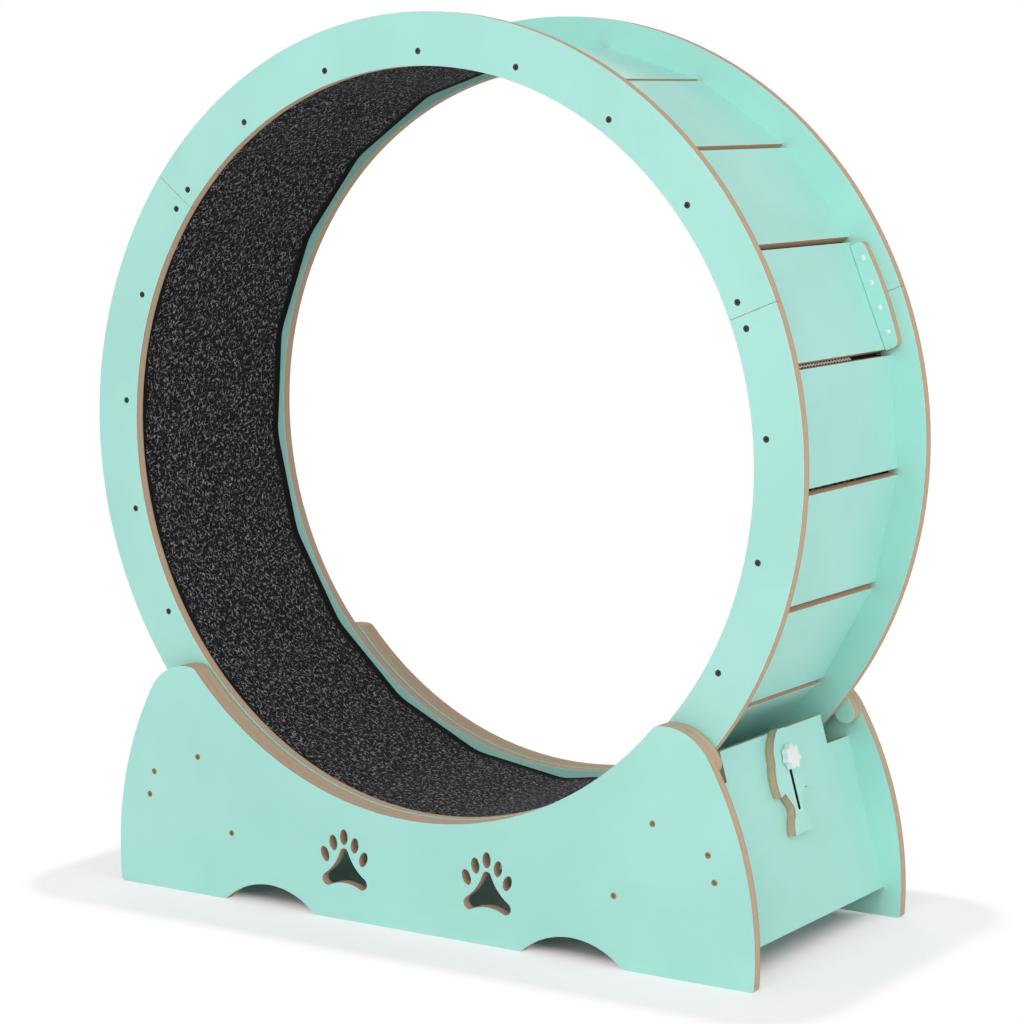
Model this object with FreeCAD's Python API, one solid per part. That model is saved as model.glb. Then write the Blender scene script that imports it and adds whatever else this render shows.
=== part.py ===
import FreeCAD, Part

import math
import os

# Cat exercise wheel of faced fibreboard, in millimetres.
# Origin: on the floor, under the middle of the wheel. +Z up, the wheel turns about an axle along Y,
# the front is -Y, and the end with the wheel lock is +X.

# ---------------------------------------------------------------- wheel, driving sizes
wheel_outer_radius = 530.0
wheel_floor_gap = 77.5
ring_width = 65.0
ring_thickness = 13.0
ring_seam_gap = 0.5
segments_per_ring = 3
planks_per_segment = 7
first_plank_angle = 90.0
tread_length = 300.0
plank_thickness = 12.0
plank_gap = 4.6
plank_shift = 3.2
mat_lip = 7.0
mat_thickness = 4.5
mat_joint_gap = 0.6
seam_screw_offset = 15.9

# splice plates over the ring seams
splice_half_length = 68.0
splice_thickness = 12.0
splice_seat_gap = 0.5
splice_outer_margin = 18.0
splice_corner_radius = 8.0
splice_screw_inset = 11.0
splice_screw_pitch = 31.8
splice_screws_per_plate = 4

# ---------------------------------------------------------------- base, driving sizes
side_thickness = 13.0
doubler_thickness = 15.0
doubler_band = 28.0
doubler_end_angle = 28.0
ring_side_gap = 4.0
shoulder_radius = 68.0
shoulder_reach = 56.0
shoulder_angle = 45.64
base_flare = 53.05
side_arc_height = 39.0
neck_radius = 12.0
foot_radius = 5.0
arch_center_x = 231.6
arch_chord = 146.0
arch_height = 28.5

# paw-shaped cut-outs, measured from the floor and from the paw's own centre line
paw_center_x = 109.5
paw_pad_top_height = 87.0
paw_pad_top_radius = 6.4
paw_pad_lobe_x = 27.2
paw_pad_lobe_height = 50.2
paw_pad_lobe_radius = 8.0
paw_pad_side_hollow_radius = 65.0
paw_pad_base_hollow_radius = 55.0
toe_half_length = 10.1
toe_half_width = 6.1
middle_toe_height = 107.8
inner_toe_x = 16.9
inner_toe_height = 98.8
inner_toe_lean = 8.5
outer_toe_x = 30.3
outer_toe_height = 82.5
outer_toe_lean = 21.5

# end panels: inclined boards between the side panels
end_panel_thickness = 12.0
end_panel_lean = 15.34
end_panel_foot_inset = 13.8
end_panel_bottom = 39.4
end_panel_drop = 39.0
end_panel_notch_width = 56.0
end_panel_notch_depth = 37.6
end_panel_screw_height = 107.7
end_panel_screw_pitch = 32.8
pilot_mark_radius = 1.2
pilot_mark_depth = 4.0
pilot_mark_y = 48.3
pilot_mark_height = 158.0

# roller boards: inclined boards inside the base that carry the rollers
roller_board_thickness = 12.0
roller_board_lean = 29.87
roller_board_setback = 18.1
roller_board_bottom = 61.6
roller_board_rim_gap = 7.0
roller_board_screw_lift = 4.4
roller_board_screw_pitch = 109.5

# ---------------------------------------------------------------- rollers
roller_tread_radius = 25.0
roller_flange_height = 5.0
roller_flange_lip = 2.4
roller_flange_chamfer = 1.0
roller_width = 22.0
roller_ring_side_clearance = 1.0
roller_ring_gap = 0.3
roller_axle_offset = 44.0
bearing_outer_radius = 11.0
bearing_width = 7.0
bearing_race_wall = 2.2
bearing_shield_recess = 0.5
bearing_running_clearance = 0.05
axle_radius = 4.0
axle_fit_clearance = 0.05
axle_spacer_wall = 2.0
fork_sheet = 2.0
fork_side_gap = 1.0
fork_plate_length = 55.0
fork_plate_width = 44.0
fork_cheek_base_length = 44.0
fork_cheek_nose_radius = 12.0
fork_screw_pitch_along = 40.0
fork_screw_pitch_across = 36.0
hex_across_flats = 13.0
bolt_head_height = 5.3
nut_height = 6.5
axle_end_length = 2.0

# ---------------------------------------------------------------- screws
screw_fit_clearance = 0.05
screw_tip_radius = 0.4
board_screw_length = 35.0
board_screw_radius = 2.0
board_screw_head_radius = 4.0
board_screw_head_height = 2.6
small_screw_length = 18.0
small_screw_radius = 1.75
small_screw_head_radius = 3.6
small_screw_head_height = 2.2
fork_screw_length = 11.0
recess_arm_length = 3.6
recess_arm_width = 1.1
recess_depth = 1.4

# ---------------------------------------------------------------- wheel lock
lock_plate_thickness = 12.0
lock_plate_rise = 2.7
lock_plate_length = 129.0
lock_nose_half_width = 8.5
lock_tail_half_width = 22.6
lock_center_y = 2.5
lock_slide_gap = 0.3
lock_wheel_gap = 0.5
lock_slot_width = 5.8
lock_slot_top = 36.0
lock_slot_bottom = 98.5
lock_stud_radius = 2.5
lock_stud_clearance = 0.05
lock_washer_radius = 6.5
lock_washer_thickness = 1.0
lock_washer_gap = 0.3
lock_knob_radius = 16.0
lock_knob_waist_radius = 13.2
lock_knob_height = 9.0
lock_knob_lobes = 7
lock_knob_edge_radius = 1.4
lock_stud_in_knob = 6.5
lock_stud_past_nut = 3.0
tee_nut_barrel_radius = 3.4
tee_nut_barrel_length = 9.0
tee_nut_flange_radius = 9.0
tee_nut_flange_thickness = 1.2

# outline of the lock plate's fish: depth below its top, and half width
fish_brow = (8.5, 18.9)
fish_cheek = (23.5, 28.8)
fish_eye_line = (30.5, 30.5)
fish_gill = (37.5, 30.9)
fish_back = (46.0, 34.6)
fish_belly = (60.0, 37.3)
fish_fin = (71.0, 36.9)
fish_fin_tip = (79.5, 35.0)
fish_fin_notch = (76.5, 24.6)
fish_stem = (84.5, 18.9)
fish_waist_start = (92.8, 12.9)
fish_waist = (100.3, 10.8)
fish_waist_end = (106.8, 12.9)
fish_tail_flare = (114.2, 18.4)

# ---------------------------------------------------------------- sizes that follow
plank_count = segments_per_ring * planks_per_segment
plank_step = 360.0 / plank_count
segment_step = 360.0 / segments_per_ring
half_step = math.radians(plank_step / 2.0)
seam_angle = first_plank_angle - plank_step * (planks_per_segment // 2 + 1)
axle_height = wheel_outer_radius + wheel_floor_gap
ring_inner_radius = wheel_outer_radius - ring_width
mat_inner_apothem = ring_inner_radius + mat_lip
plank_inner_apothem = mat_inner_apothem + mat_thickness
plank_outer_apothem = plank_inner_apothem + plank_thickness
plank_width = 2.0 * plank_inner_apothem * math.tan(half_step) - plank_gap
plank_corner_radius = math.hypot(plank_outer_apothem, plank_width / 2.0 + plank_shift)
plank_screw_radius = plank_inner_apothem + plank_thickness / 2.0
ring_inner_face = tread_length / 2.0
ring_outer_face = ring_inner_face + ring_thickness
ring_middle_y = ring_inner_face + ring_thickness / 2.0
doubler_inner_face = ring_outer_face + ring_side_gap
side_inner_face = doubler_inner_face + doubler_thickness
side_outer_face = side_inner_face + side_thickness
cradle_radius = ring_inner_radius
board_hole_radius = board_screw_radius + screw_fit_clearance
small_hole_radius = small_screw_radius + screw_fit_clearance

# the shoulders' centres lie outside the cradle, below the axle, and the base's outline follows them
shoulder_turn = math.radians(shoulder_angle)
shoulder_x = (cradle_radius + shoulder_reach) * math.cos(shoulder_turn)
shoulder_z = axle_height - (cradle_radius + shoulder_reach) * math.sin(shoulder_turn)
base_half_length = shoulder_x + shoulder_radius + base_flare
side_rise = shoulder_z - side_arc_height
side_reach = base_half_length - shoulder_x
side_arc_radius = (side_reach ** 2 + side_rise ** 2 - shoulder_radius ** 2) / (
    2.0 * (side_reach - shoulder_radius))

# inclined boards: where their drawing planes meet the floor, and their lengths along the incline
end_panel_turn = math.radians(end_panel_lean)
end_panel_foot_x = base_half_length - end_panel_foot_inset
end_panel_top = (shoulder_z + shoulder_radius - end_panel_drop) / math.cos(end_panel_turn)
end_panel_height = end_panel_top - end_panel_bottom
roller_board_turn = math.radians(roller_board_lean)
roller_board_reach = wheel_outer_radius - roller_board_setback
roller_board_foot_x = (roller_board_reach - axle_height * math.sin(roller_board_turn)) / math.cos(
    roller_board_turn)
roller_board_inner = roller_board_reach - roller_board_thickness / 2.0
roller_board_top = (roller_board_foot_x * -math.sin(roller_board_turn) + axle_height * math.cos(roller_board_turn)
                    - math.sqrt((wheel_outer_radius + roller_board_rim_gap) ** 2 - roller_board_inner ** 2))
roller_board_height = roller_board_top - roller_board_bottom

UP = FreeCAD.Vector(0, 0, 1)
ALONG_Y = FreeCAD.Vector(0, 1, 0)
AXLE = FreeCAD.Vector(0, 0, axle_height)

nodes = {}


# ---------------------------------------------------------------- drawing helpers
def flat(x, z):
    """Point of an outline drawn in the XZ plane."""
    return FreeCAD.Vector(x, 0, z)


def line(start, end):
    return Part.LineSegment(start, end).toShape()


def arc(start, middle, end):
    return Part.Arc(start, middle, end).toShape()


def board(edges, thickness, near_y):
    """Solid of a closed outline in the XZ plane, from near_y to near_y + thickness."""
    wire = Part.Wire(Part.sortEdges(edges)[0])
    face = Part.Face(wire)
    face.translate(FreeCAD.Vector(0, near_y, 0))
    return face.extrude(FreeCAD.Vector(0, thickness, 0))


def rod(radius, length, start, direction):
    return Part.makeCylinder(radius, length, start, direction)


def toward(center, target, distance):
    """Point at a distance from center, on the way to target."""
    step = target - center
    return center + step * (distance / step.Length)


def arc_about(center, start, end, radius):
    """Arc about center between two of its points, by the shorter way."""
    return arc(start, toward(center, (start + end) * 0.5, radius), end)


def circles_meet(center_a, radius_a, center_b, radius_b, side):
    """One of the two points where circles in the XZ plane meet; side is 1 or -1."""
    span = center_b - center_a
    along = (radius_a ** 2 - radius_b ** 2 + span.Length ** 2) / (2.0 * span.Length)
    across = math.sqrt(radius_a ** 2 - along ** 2)
    step = span * (1.0 / span.Length)
    normal = FreeCAD.Vector(-step.z, 0, step.x)
    return center_a + step * along + normal * (across * side)


def mirrored_x(shape):
    return shape.mirror(FreeCAD.Vector(0, 0, 0), FreeCAD.Vector(1, 0, 0))


def mirrored_y(shape):
    return shape.mirror(FreeCAD.Vector(0, 0, 0), ALONG_Y)


def turned(shape, angle):
    """Copy turned about the wheel's axle by an angle counted from +X towards +Z."""
    copy = shape.copy()
    copy.rotate(AXLE, ALONG_Y, -angle)
    return copy


def aimed(shape, point, direction):
    """Copy of a fastener drawn along -Z with its head at the top, placed to point along direction."""
    copy = shape.copy()
    copy.Placement = FreeCAD.Placement(point, FreeCAD.Rotation(-UP, direction))
    return copy


# ---------------------------------------------------------------- fasteners
def cross_recess():
    """Cross-shaped tool recess at the top of a screw head."""
    bar = Part.makeBox(recess_arm_length, recess_arm_width, recess_depth,
                       FreeCAD.Vector(-recess_arm_length / 2.0, -recess_arm_width / 2.0, -recess_depth))
    crossing = bar.copy()
    crossing.rotate(FreeCAD.Vector(0, 0, 0), UP, 90.0)
    return bar.fuse(crossing)


def countersunk_screw(length, radius, head_radius, head_height):
    """Screw with a flush conical head, along -Z from the head's top."""
    head = Part.makeCone(radius, head_radius, head_height, FreeCAD.Vector(0, 0, -head_height))
    shank = rod(radius, length - head_height - radius, FreeCAD.Vector(0, 0, -head_height), -UP)
    tip = Part.makeCone(radius, screw_tip_radius, radius, FreeCAD.Vector(0, 0, radius - length), -UP)
    return head.fuse([shank, tip]).cut(cross_recess()).removeSplitter()


def pan_screw(length, radius, head_radius, head_height):
    """Screw with a domed head that stands on the surface; the seat is at Z = 0."""
    dome_radius = (head_radius ** 2 + head_height ** 2) / (2.0 * head_height)
    ball = Part.makeSphere(dome_radius, FreeCAD.Vector(0, 0, head_height - dome_radius))
    head = ball.common(rod(head_radius, head_height, FreeCAD.Vector(0, 0, 0), UP))
    shank = rod(radius, length - radius, FreeCAD.Vector(0, 0, 0), -UP)
    tip = Part.makeCone(radius, screw_tip_radius, radius, FreeCAD.Vector(0, 0, radius - length), -UP)
    recess = cross_recess()
    recess.translate(FreeCAD.Vector(0, 0, head_height))
    return head.fuse([shank, tip]).cut(recess).removeSplitter()


def board_screw_hole(point, direction, board_depth):
    """Countersink and clearance hole through a board, and the pilot hole beyond it."""
    cone = Part.makeCone(board_screw_head_radius + screw_fit_clearance, board_hole_radius,
                         board_screw_head_height, point, direction)
    return cone.fuse(rod(board_hole_radius, board_depth, point, direction))


def board_screw_pilot(point, direction):
    return rod(board_hole_radius, board_screw_length + screw_fit_clearance, point, direction)


board_screw = countersunk_screw(board_screw_length, board_screw_radius,
                                board_screw_head_radius, board_screw_head_height)
small_screw = pan_screw(small_screw_length, small_screw_radius,
                        small_screw_head_radius, small_screw_head_height)
fork_screw = pan_screw(fork_screw_length, small_screw_radius,
                       small_screw_head_radius, small_screw_head_height)


# ---------------------------------------------------------------- wheel
def ring_point(radius, angle):
    turn = math.radians(angle)
    return flat(radius * math.cos(turn), axle_height + radius * math.sin(turn))


def splice_screw_places():
    """Places of one splice plate's screws, for a seam that lies on the +X side."""
    middle = (splice_screws_per_plate - 1) / 2.0
    reach = plank_outer_apothem + splice_seat_gap + splice_screw_inset
    return [flat(reach, axle_height + (index - middle) * splice_screw_pitch)
            for index in range(splice_screws_per_plate)]


def plank_screw_places(is_seam):
    """Places of a plank's end screws, for a plank on the +X side."""
    offsets = (-seam_screw_offset, seam_screw_offset) if is_seam else (0.0,)
    return [flat(plank_screw_radius, axle_height + offset) for offset in offsets]


def ring_segment():
    """Rear ring segment that starts at the seam on the +X side and runs anticlockwise."""
    trim = math.degrees(ring_seam_gap / 2.0 / (wheel_outer_radius - ring_width / 2.0))
    start = trim
    end = segment_step - trim
    middle = segment_step / 2.0
    edges = [
        arc(ring_point(wheel_outer_radius, start), ring_point(wheel_outer_radius, middle),
            ring_point(wheel_outer_radius, end)),
        line(ring_point(wheel_outer_radius, end), ring_point(ring_inner_radius, end)),
        arc(ring_point(ring_inner_radius, end), ring_point(ring_inner_radius, middle),
            ring_point(ring_inner_radius, start)),
        line(ring_point(ring_inner_radius, start), ring_point(wheel_outer_radius, start)),
    ]
    segment = board(edges, ring_thickness, ring_inner_face)
    holes = []
    for index in range(planks_per_segment + 1):
        is_seam = index in (0, planks_per_segment)
        for place in plank_screw_places(is_seam):
            mouth = place + FreeCAD.Vector(0, ring_outer_face, 0)
            hole = board_screw_hole(mouth, -ALONG_Y, ring_thickness)
            holes.append(turned(hole, index * plank_step))
    depth = small_screw_length - splice_thickness + screw_fit_clearance
    for seam in (0.0, segment_step):
        for place in splice_screw_places():
            mouth = place + FreeCAD.Vector(0, ring_inner_face, 0)
            holes.append(turned(rod(small_hole_radius, depth, mouth, ALONG_Y), seam))
    return segment.cut(holes)


def splice_plate():
    """Rear splice plate over a seam on the +X side, seated on the ring's inner face."""
    inner = plank_outer_apothem + splice_seat_gap
    outer = wheel_outer_radius - splice_outer_margin
    block = Part.makeBox(outer, splice_thickness, 2.0 * splice_half_length,
                         FreeCAD.Vector(inner, ring_inner_face - splice_thickness,
                                        axle_height - splice_half_length))
    disc = rod(outer, splice_thickness, FreeCAD.Vector(0, ring_inner_face - splice_thickness, axle_height),
               ALONG_Y)
    plate = block.common(disc)
    corners = []
    for edge in plate.Edges:
        middle = edge.CenterOfMass
        is_across = abs(edge.BoundBox.YLength - splice_thickness) < 0.01
        if is_across and middle.x > inner + 1.0:
            corners.append(edge)
    plate = plate.makeFillet(splice_corner_radius, corners)
    holes = [rod(small_hole_radius, splice_thickness,
                 place + FreeCAD.Vector(0, ring_inner_face - splice_thickness, 0), ALONG_Y)
             for place in splice_screw_places()]
    return plate.cut(holes)


def tread_plank(is_seam):
    """Tread plank on the +X side, shifted a little way round from its screws."""
    foot = axle_height + plank_shift - plank_width / 2.0
    plank = Part.makeBox(plank_thickness, tread_length, plank_width,
                         FreeCAD.Vector(plank_inner_apothem, -ring_inner_face, foot))
    pilots = []
    for place in plank_screw_places(is_seam):
        for side in (-1, 1):
            mouth = place + FreeCAD.Vector(0, side * ring_outer_face, 0)
            pilots.append(board_screw_pilot(mouth, ALONG_Y * -side))
    return plank.cut(pilots)


def running_mat():
    """Mat on the planks' inner faces, a strip whose two ends meet at one plank gap."""
    faces = []
    for apothem in (plank_inner_apothem, mat_inner_apothem):
        corners = [ring_point(apothem / math.cos(half_step),
                              first_plank_angle + (index + 0.5) * plank_step)
                   for index in range(plank_count + 1)]
        faces.append(Part.Face(Part.makePolygon(corners)))
    mat = faces[0].cut(faces[1])
    mat.translate(FreeCAD.Vector(0, -ring_inner_face, 0))
    mat = mat.extrude(FreeCAD.Vector(0, tread_length, 0))
    slit_foot = axle_height + plank_shift - mat_joint_gap / 2.0
    slit = Part.makeBox(wheel_outer_radius, tread_length, mat_joint_gap,
                        FreeCAD.Vector(0, -ring_inner_face, slit_foot))
    return mat.cut(turned(slit, seam_angle - plank_step / 2.0))


def build_wheel():
    rear_segment = ring_segment()
    front_segment = mirrored_y(rear_segment)
    rear_plate = splice_plate()
    front_plate = mirrored_y(rear_plate)
    rear_plates = []
    front_plates = []
    splice_screws = []
    for index in range(segments_per_ring):
        seam = seam_angle + index * segment_step
        nodes["rear_ring_segment_%d" % (index + 1)] = turned(rear_segment, seam)
        nodes["front_ring_segment_%d" % (index + 1)] = turned(front_segment, seam)
        rear_plates.append(turned(rear_plate, seam))
        front_plates.append(turned(front_plate, seam))
        for place in splice_screw_places():
            for side in (-1, 1):
                seat = place + FreeCAD.Vector(0, side * (ring_inner_face - splice_thickness), 0)
                splice_screws.append(turned(aimed(small_screw, seat, ALONG_Y * side), seam))
    nodes["rear_splice_plates"] = Part.makeCompound(rear_plates)
    nodes["front_splice_plates"] = Part.makeCompound(front_plates)
    nodes["splice_screws"] = Part.makeCompound(splice_screws)

    plain_plank = tread_plank(False)
    seam_plank = tread_plank(True)
    ring_screws = []
    for index in range(plank_count):
        angle = seam_angle + index * plank_step
        is_seam = index % planks_per_segment == 0
        plank = seam_plank if is_seam else plain_plank
        nodes["tread_plank_%02d" % (index + 1)] = turned(plank, angle)
        for place in plank_screw_places(is_seam):
            for side in (-1, 1):
                mouth = place + FreeCAD.Vector(0, side * ring_outer_face, 0)
                ring_screws.append(turned(aimed(board_screw, mouth, ALONG_Y * -side), angle))
    nodes["ring_screws"] = Part.makeCompound(ring_screws)
    nodes["running_mat"] = running_mat()


# ---------------------------------------------------------------- base outline
class SideOutline:
    """Points of the side panel's right half, from which the panel and its doubler are drawn."""

    def __init__(self):
        self.side_center = flat(base_half_length - side_arc_radius, side_arc_height)
        self.shoulder_center = flat(shoulder_x, shoulder_z)
        self.neck_center = circles_meet(AXLE, cradle_radius + neck_radius, self.shoulder_center,
                                        shoulder_radius - neck_radius, 1)
        self.cradle_end = toward(AXLE, self.neck_center, cradle_radius)
        self.neck_end = toward(self.shoulder_center, self.neck_center, shoulder_radius)
        self.shoulder_end = toward(self.side_center, self.shoulder_center, side_arc_radius)
        foot_drop = foot_radius - side_arc_height
        foot_reach = side_arc_radius - foot_radius
        self.foot_center = flat(self.side_center.x + math.sqrt(foot_reach ** 2 - foot_drop ** 2),
                                foot_radius)
        self.side_end = toward(self.side_center, self.foot_center, side_arc_radius)
        self.foot_end = flat(self.foot_center.x, 0)

    def shoulder_edges(self, last):
        """Neck and shoulder, as far as the last point on the shoulder's arc."""
        top = self.shoulder_center + FreeCAD.Vector(0, 0, shoulder_radius)
        return [
            arc_about(self.neck_center, self.cradle_end, self.neck_end, neck_radius),
            arc_about(self.shoulder_center, self.neck_end, top, shoulder_radius),
            arc_about(self.shoulder_center, top, last, shoulder_radius),
        ]


def both_sides(edges):
    """Edges of the right half together with their mirror images."""
    return edges + [mirrored_x(edge) for edge in edges]


def cradle_edge(radius, end):
    """Arc under the wheel from one side to the other, at the given radius about the axle."""
    start = flat(-end.x, end.z)
    return arc(start, flat(0, axle_height - radius), end)


def paw_pad(center_x):
    """Outline of the paw's pad: three rounded corners with hollow sides between them."""
    top = flat(center_x, paw_pad_top_height)
    left = flat(center_x - paw_pad_lobe_x, paw_pad_lobe_height)
    right = flat(center_x + paw_pad_lobe_x, paw_pad_lobe_height)
    radii = (paw_pad_top_radius, paw_pad_lobe_radius, paw_pad_lobe_radius)
    hollows = (paw_pad_side_hollow_radius, paw_pad_base_hollow_radius, paw_pad_side_hollow_radius)
    corners = (top, right, left)
    centroid = (top + left + right) * (1.0 / 3.0)
    edges = []
    entries = []
    exits = []
    for index in range(3):
        here = corners[index]
        there = corners[(index + 1) % 3]
        radius_here = radii[index]
        radius_there = radii[(index + 1) % 3]
        hollow = hollows[index]
        hollow_center = circles_meet(here, radius_here + hollow, there, radius_there + hollow, 1)
        if (hollow_center - centroid).Length < hollow:
            hollow_center = circles_meet(here, radius_here + hollow, there, radius_there + hollow, -1)
        leave = toward(here, hollow_center, radius_here)
        arrive = toward(there, hollow_center, radius_there)
        edges.append(arc_about(hollow_center, leave, arrive, hollow))
        exits.append(leave)
        entries.append(arrive)
    for index in range(3):
        here = corners[index]
        outside = here + (here - centroid)
        tip = toward(here, outside, radii[index])
        edges.append(arc(entries[index - 1], tip, exits[index]))
    return edges


def paw_cutters(center_x):
    """Solids that cut one paw through a side panel: the pad and five toes."""
    depth = side_thickness
    cutters = [board(paw_pad(center_x), depth, side_inner_face)]
    toes = (
        (-outer_toe_x, outer_toe_height, -outer_toe_lean),
        (-inner_toe_x, inner_toe_height, -inner_toe_lean),
        (0.0, middle_toe_height, 0.0),
        (inner_toe_x, inner_toe_height, inner_toe_lean),
        (outer_toe_x, outer_toe_height, outer_toe_lean),
    )
    for offset, height, lean in toes:
        ellipse = Part.Ellipse(FreeCAD.Vector(0, 0, 0), toe_half_length, toe_half_width)
        toe = Part.Face(Part.Wire(ellipse.toShape())).extrude(FreeCAD.Vector(0, 0, depth))
        toe.rotate(FreeCAD.Vector(0, 0, 0), FreeCAD.Vector(1, 0, 0), -90.0)
        toe.rotate(FreeCAD.Vector(0, 0, 0), ALONG_Y, 90.0 + lean)
        toe.translate(FreeCAD.Vector(center_x + offset, side_inner_face, height))
        cutters.append(toe)
    return cutters


def on_incline(foot_x, lean, height, offset):
    """Point of an inclined board: height along the board, and offset across it from its drawing plane."""
    turn = math.radians(lean)
    return flat(foot_x + height * math.sin(turn) + offset * math.cos(turn),
                height * math.cos(turn) - offset * math.sin(turn))


def end_panel_screw_heights():
    middle = end_panel_bottom + end_panel_screw_height
    return middle - end_panel_screw_pitch / 2.0, middle + end_panel_screw_pitch / 2.0


def roller_board_screw_heights():
    low = roller_place()[0] + roller_board_screw_lift
    return low, low + roller_board_screw_pitch


def base_screw_places():
    """Places of the right half's base screws in a side panel, as points of the XZ plane."""
    places = []
    for height in end_panel_screw_heights():
        places.append(on_incline(end_panel_foot_x, -end_panel_lean, height, -end_panel_thickness / 2.0))
    for height in roller_board_screw_heights():
        places.append(on_incline(roller_board_foot_x, roller_board_lean, height, 0.0))
    return places


def side_panel(outline):
    """Rear side panel with its arches, paws and screw holes."""
    side_middle = flat(base_half_length, side_arc_height)
    right = outline.shoulder_edges(outline.shoulder_end) + [
        arc_about(outline.side_center, outline.shoulder_end, side_middle, side_arc_radius),
        arc_about(outline.side_center, side_middle, outline.side_end, side_arc_radius),
        arc_about(outline.foot_center, outline.side_end, outline.foot_end, foot_radius),
    ]
    edges = both_sides(right)
    edges.append(cradle_edge(cradle_radius, outline.cradle_end))
    edges.append(line(flat(-outline.foot_end.x, 0), outline.foot_end))
    panel = board(edges, side_thickness, side_inner_face)
    arch_radius = ((arch_chord / 2.0) ** 2 + arch_height ** 2) / (2.0 * arch_height)
    cutters = []
    for side in (-1, 1):
        arch_center = FreeCAD.Vector(side * arch_center_x, side_inner_face, arch_height - arch_radius)
        cutters.append(rod(arch_radius, side_thickness, arch_center, ALONG_Y))
        cutters.extend(paw_cutters(side * paw_center_x))
        for place in base_screw_places():
            mouth = FreeCAD.Vector(side * place.x, side_outer_face, place.z)
            cutters.append(board_screw_hole(mouth, -ALONG_Y, side_thickness))
    return panel.cut(cutters)


def edge_doubler(outline):
    """Band behind the rear side panel's top edge, as wide all the way, with round ends."""
    half_band = doubler_band / 2.0
    turn = math.radians(doubler_end_angle)
    heading = FreeCAD.Vector(math.cos(turn), 0, math.sin(turn))
    last = outline.shoulder_center + heading * shoulder_radius
    inner_start = outline.shoulder_center + heading * (shoulder_radius - doubler_band)
    round_center = outline.shoulder_center + heading * (shoulder_radius - half_band)
    round_tip = round_center + FreeCAD.Vector(heading.z, 0, -heading.x) * half_band
    inner_meet = circles_meet(AXLE, cradle_radius + doubler_band, outline.shoulder_center,
                              shoulder_radius - doubler_band, 1)
    right = outline.shoulder_edges(last) + [
        arc(last, round_tip, inner_start),
        arc_about(outline.shoulder_center, inner_start, inner_meet, shoulder_radius - doubler_band),
    ]
    edges = both_sides(right)
    edges.append(cradle_edge(cradle_radius, outline.cradle_end))
    edges.append(cradle_edge(cradle_radius + doubler_band, inner_meet))
    return board(edges, doubler_thickness, doubler_inner_face)


# ---------------------------------------------------------------- inclined boards
def inclined(shape, foot_x, lean):
    """Stand a shape, drawn upright at X = 0, on the floor at foot_x and lean it towards +X."""
    copy = shape.copy()
    copy.rotate(FreeCAD.Vector(0, 0, 0), ALONG_Y, lean)
    copy.translate(FreeCAD.Vector(foot_x, 0, 0))
    return copy


def edge_pilots(center_x, heights):
    """Pilot holes for the base screws in both ends of an upright board."""
    pilots = []
    for height in heights:
        for side in (-1, 1):
            mouth = FreeCAD.Vector(center_x, side * side_outer_face, height)
            pilots.append(board_screw_pilot(mouth, ALONG_Y * -side))
    return pilots


def end_panel(has_lock):
    """Right end panel, drawn upright with its outer face on X = 0, then leaned inwards."""
    panel = Part.makeBox(end_panel_thickness, 2.0 * side_inner_face, end_panel_height,
                         FreeCAD.Vector(-end_panel_thickness, -side_inner_face, end_panel_bottom))
    cutters = []
    for near_y in (-side_inner_face, side_inner_face - end_panel_notch_width):
        cutters.append(Part.makeBox(end_panel_thickness, end_panel_notch_width, end_panel_notch_depth,
                                    FreeCAD.Vector(-end_panel_thickness, near_y,
                                                   end_panel_top - end_panel_notch_depth)))
    cutters.extend(edge_pilots(-end_panel_thickness / 2.0, end_panel_screw_heights()))
    if has_lock:
        mark = FreeCAD.Vector(0, pilot_mark_y, end_panel_bottom + pilot_mark_height)
        cutters.append(rod(pilot_mark_radius, pilot_mark_depth, mark, FreeCAD.Vector(-1, 0, 0)))
        back = FreeCAD.Vector(-end_panel_thickness, lock_center_y, lock_stud_height())
        to_front = FreeCAD.Vector(1, 0, 0)
        cutters.append(rod(tee_nut_barrel_radius, tee_nut_barrel_length, back, to_front))
        cutters.append(rod(lock_slot_width / 2.0, end_panel_thickness, back, to_front))
    return inclined(panel.cut(cutters), end_panel_foot_x, -end_panel_lean)


def ring_reach():
    """Distance from the wheel's axle to a roller's axle."""
    return wheel_outer_radius + roller_ring_gap + roller_tread_radius


def roller_place():
    """Height along the roller board of the right rollers' axle, and its offset from the board's middle."""
    offset = -(roller_board_thickness / 2.0 + roller_axle_offset)
    start = on_incline(roller_board_foot_x, roller_board_lean, 0.0, offset) - AXLE
    up = on_incline(0.0, roller_board_lean, 1.0, 0.0)
    half_b = start.dot(up)
    height = -half_b - math.sqrt(half_b ** 2 - start.dot(start) + ring_reach() ** 2)
    return height, offset


def roller_board():
    """Right roller board, drawn upright with its middle on X = 0, then leaned outwards."""
    blank = Part.makeBox(roller_board_thickness, 2.0 * side_inner_face, roller_board_height,
                         FreeCAD.Vector(-roller_board_thickness / 2.0, -side_inner_face, roller_board_bottom))
    cutters = edge_pilots(0.0, roller_board_screw_heights())
    for seat in fork_screw_places():
        for side in (-1, 1):
            mouth = FreeCAD.Vector(-roller_board_thickness / 2.0, side * seat.y, seat.z)
            cutters.append(rod(small_hole_radius, fork_screw_length - fork_sheet + screw_fit_clearance,
                               mouth, FreeCAD.Vector(1, 0, 0)))
    return inclined(blank.cut(cutters), roller_board_foot_x, roller_board_lean)


# ---------------------------------------------------------------- rollers
def fork_screw_places():
    """Seats of the rear fork's screws on the upright roller board's fork plate."""
    height = roller_place()[0]
    seat_x = -(roller_board_thickness / 2.0 + fork_sheet)
    return [FreeCAD.Vector(seat_x, ring_middle_y + across * fork_screw_pitch_across / 2.0,
                           height + along * fork_screw_pitch_along / 2.0)
            for across in (-1, 1) for along in (-1, 1)]


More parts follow.
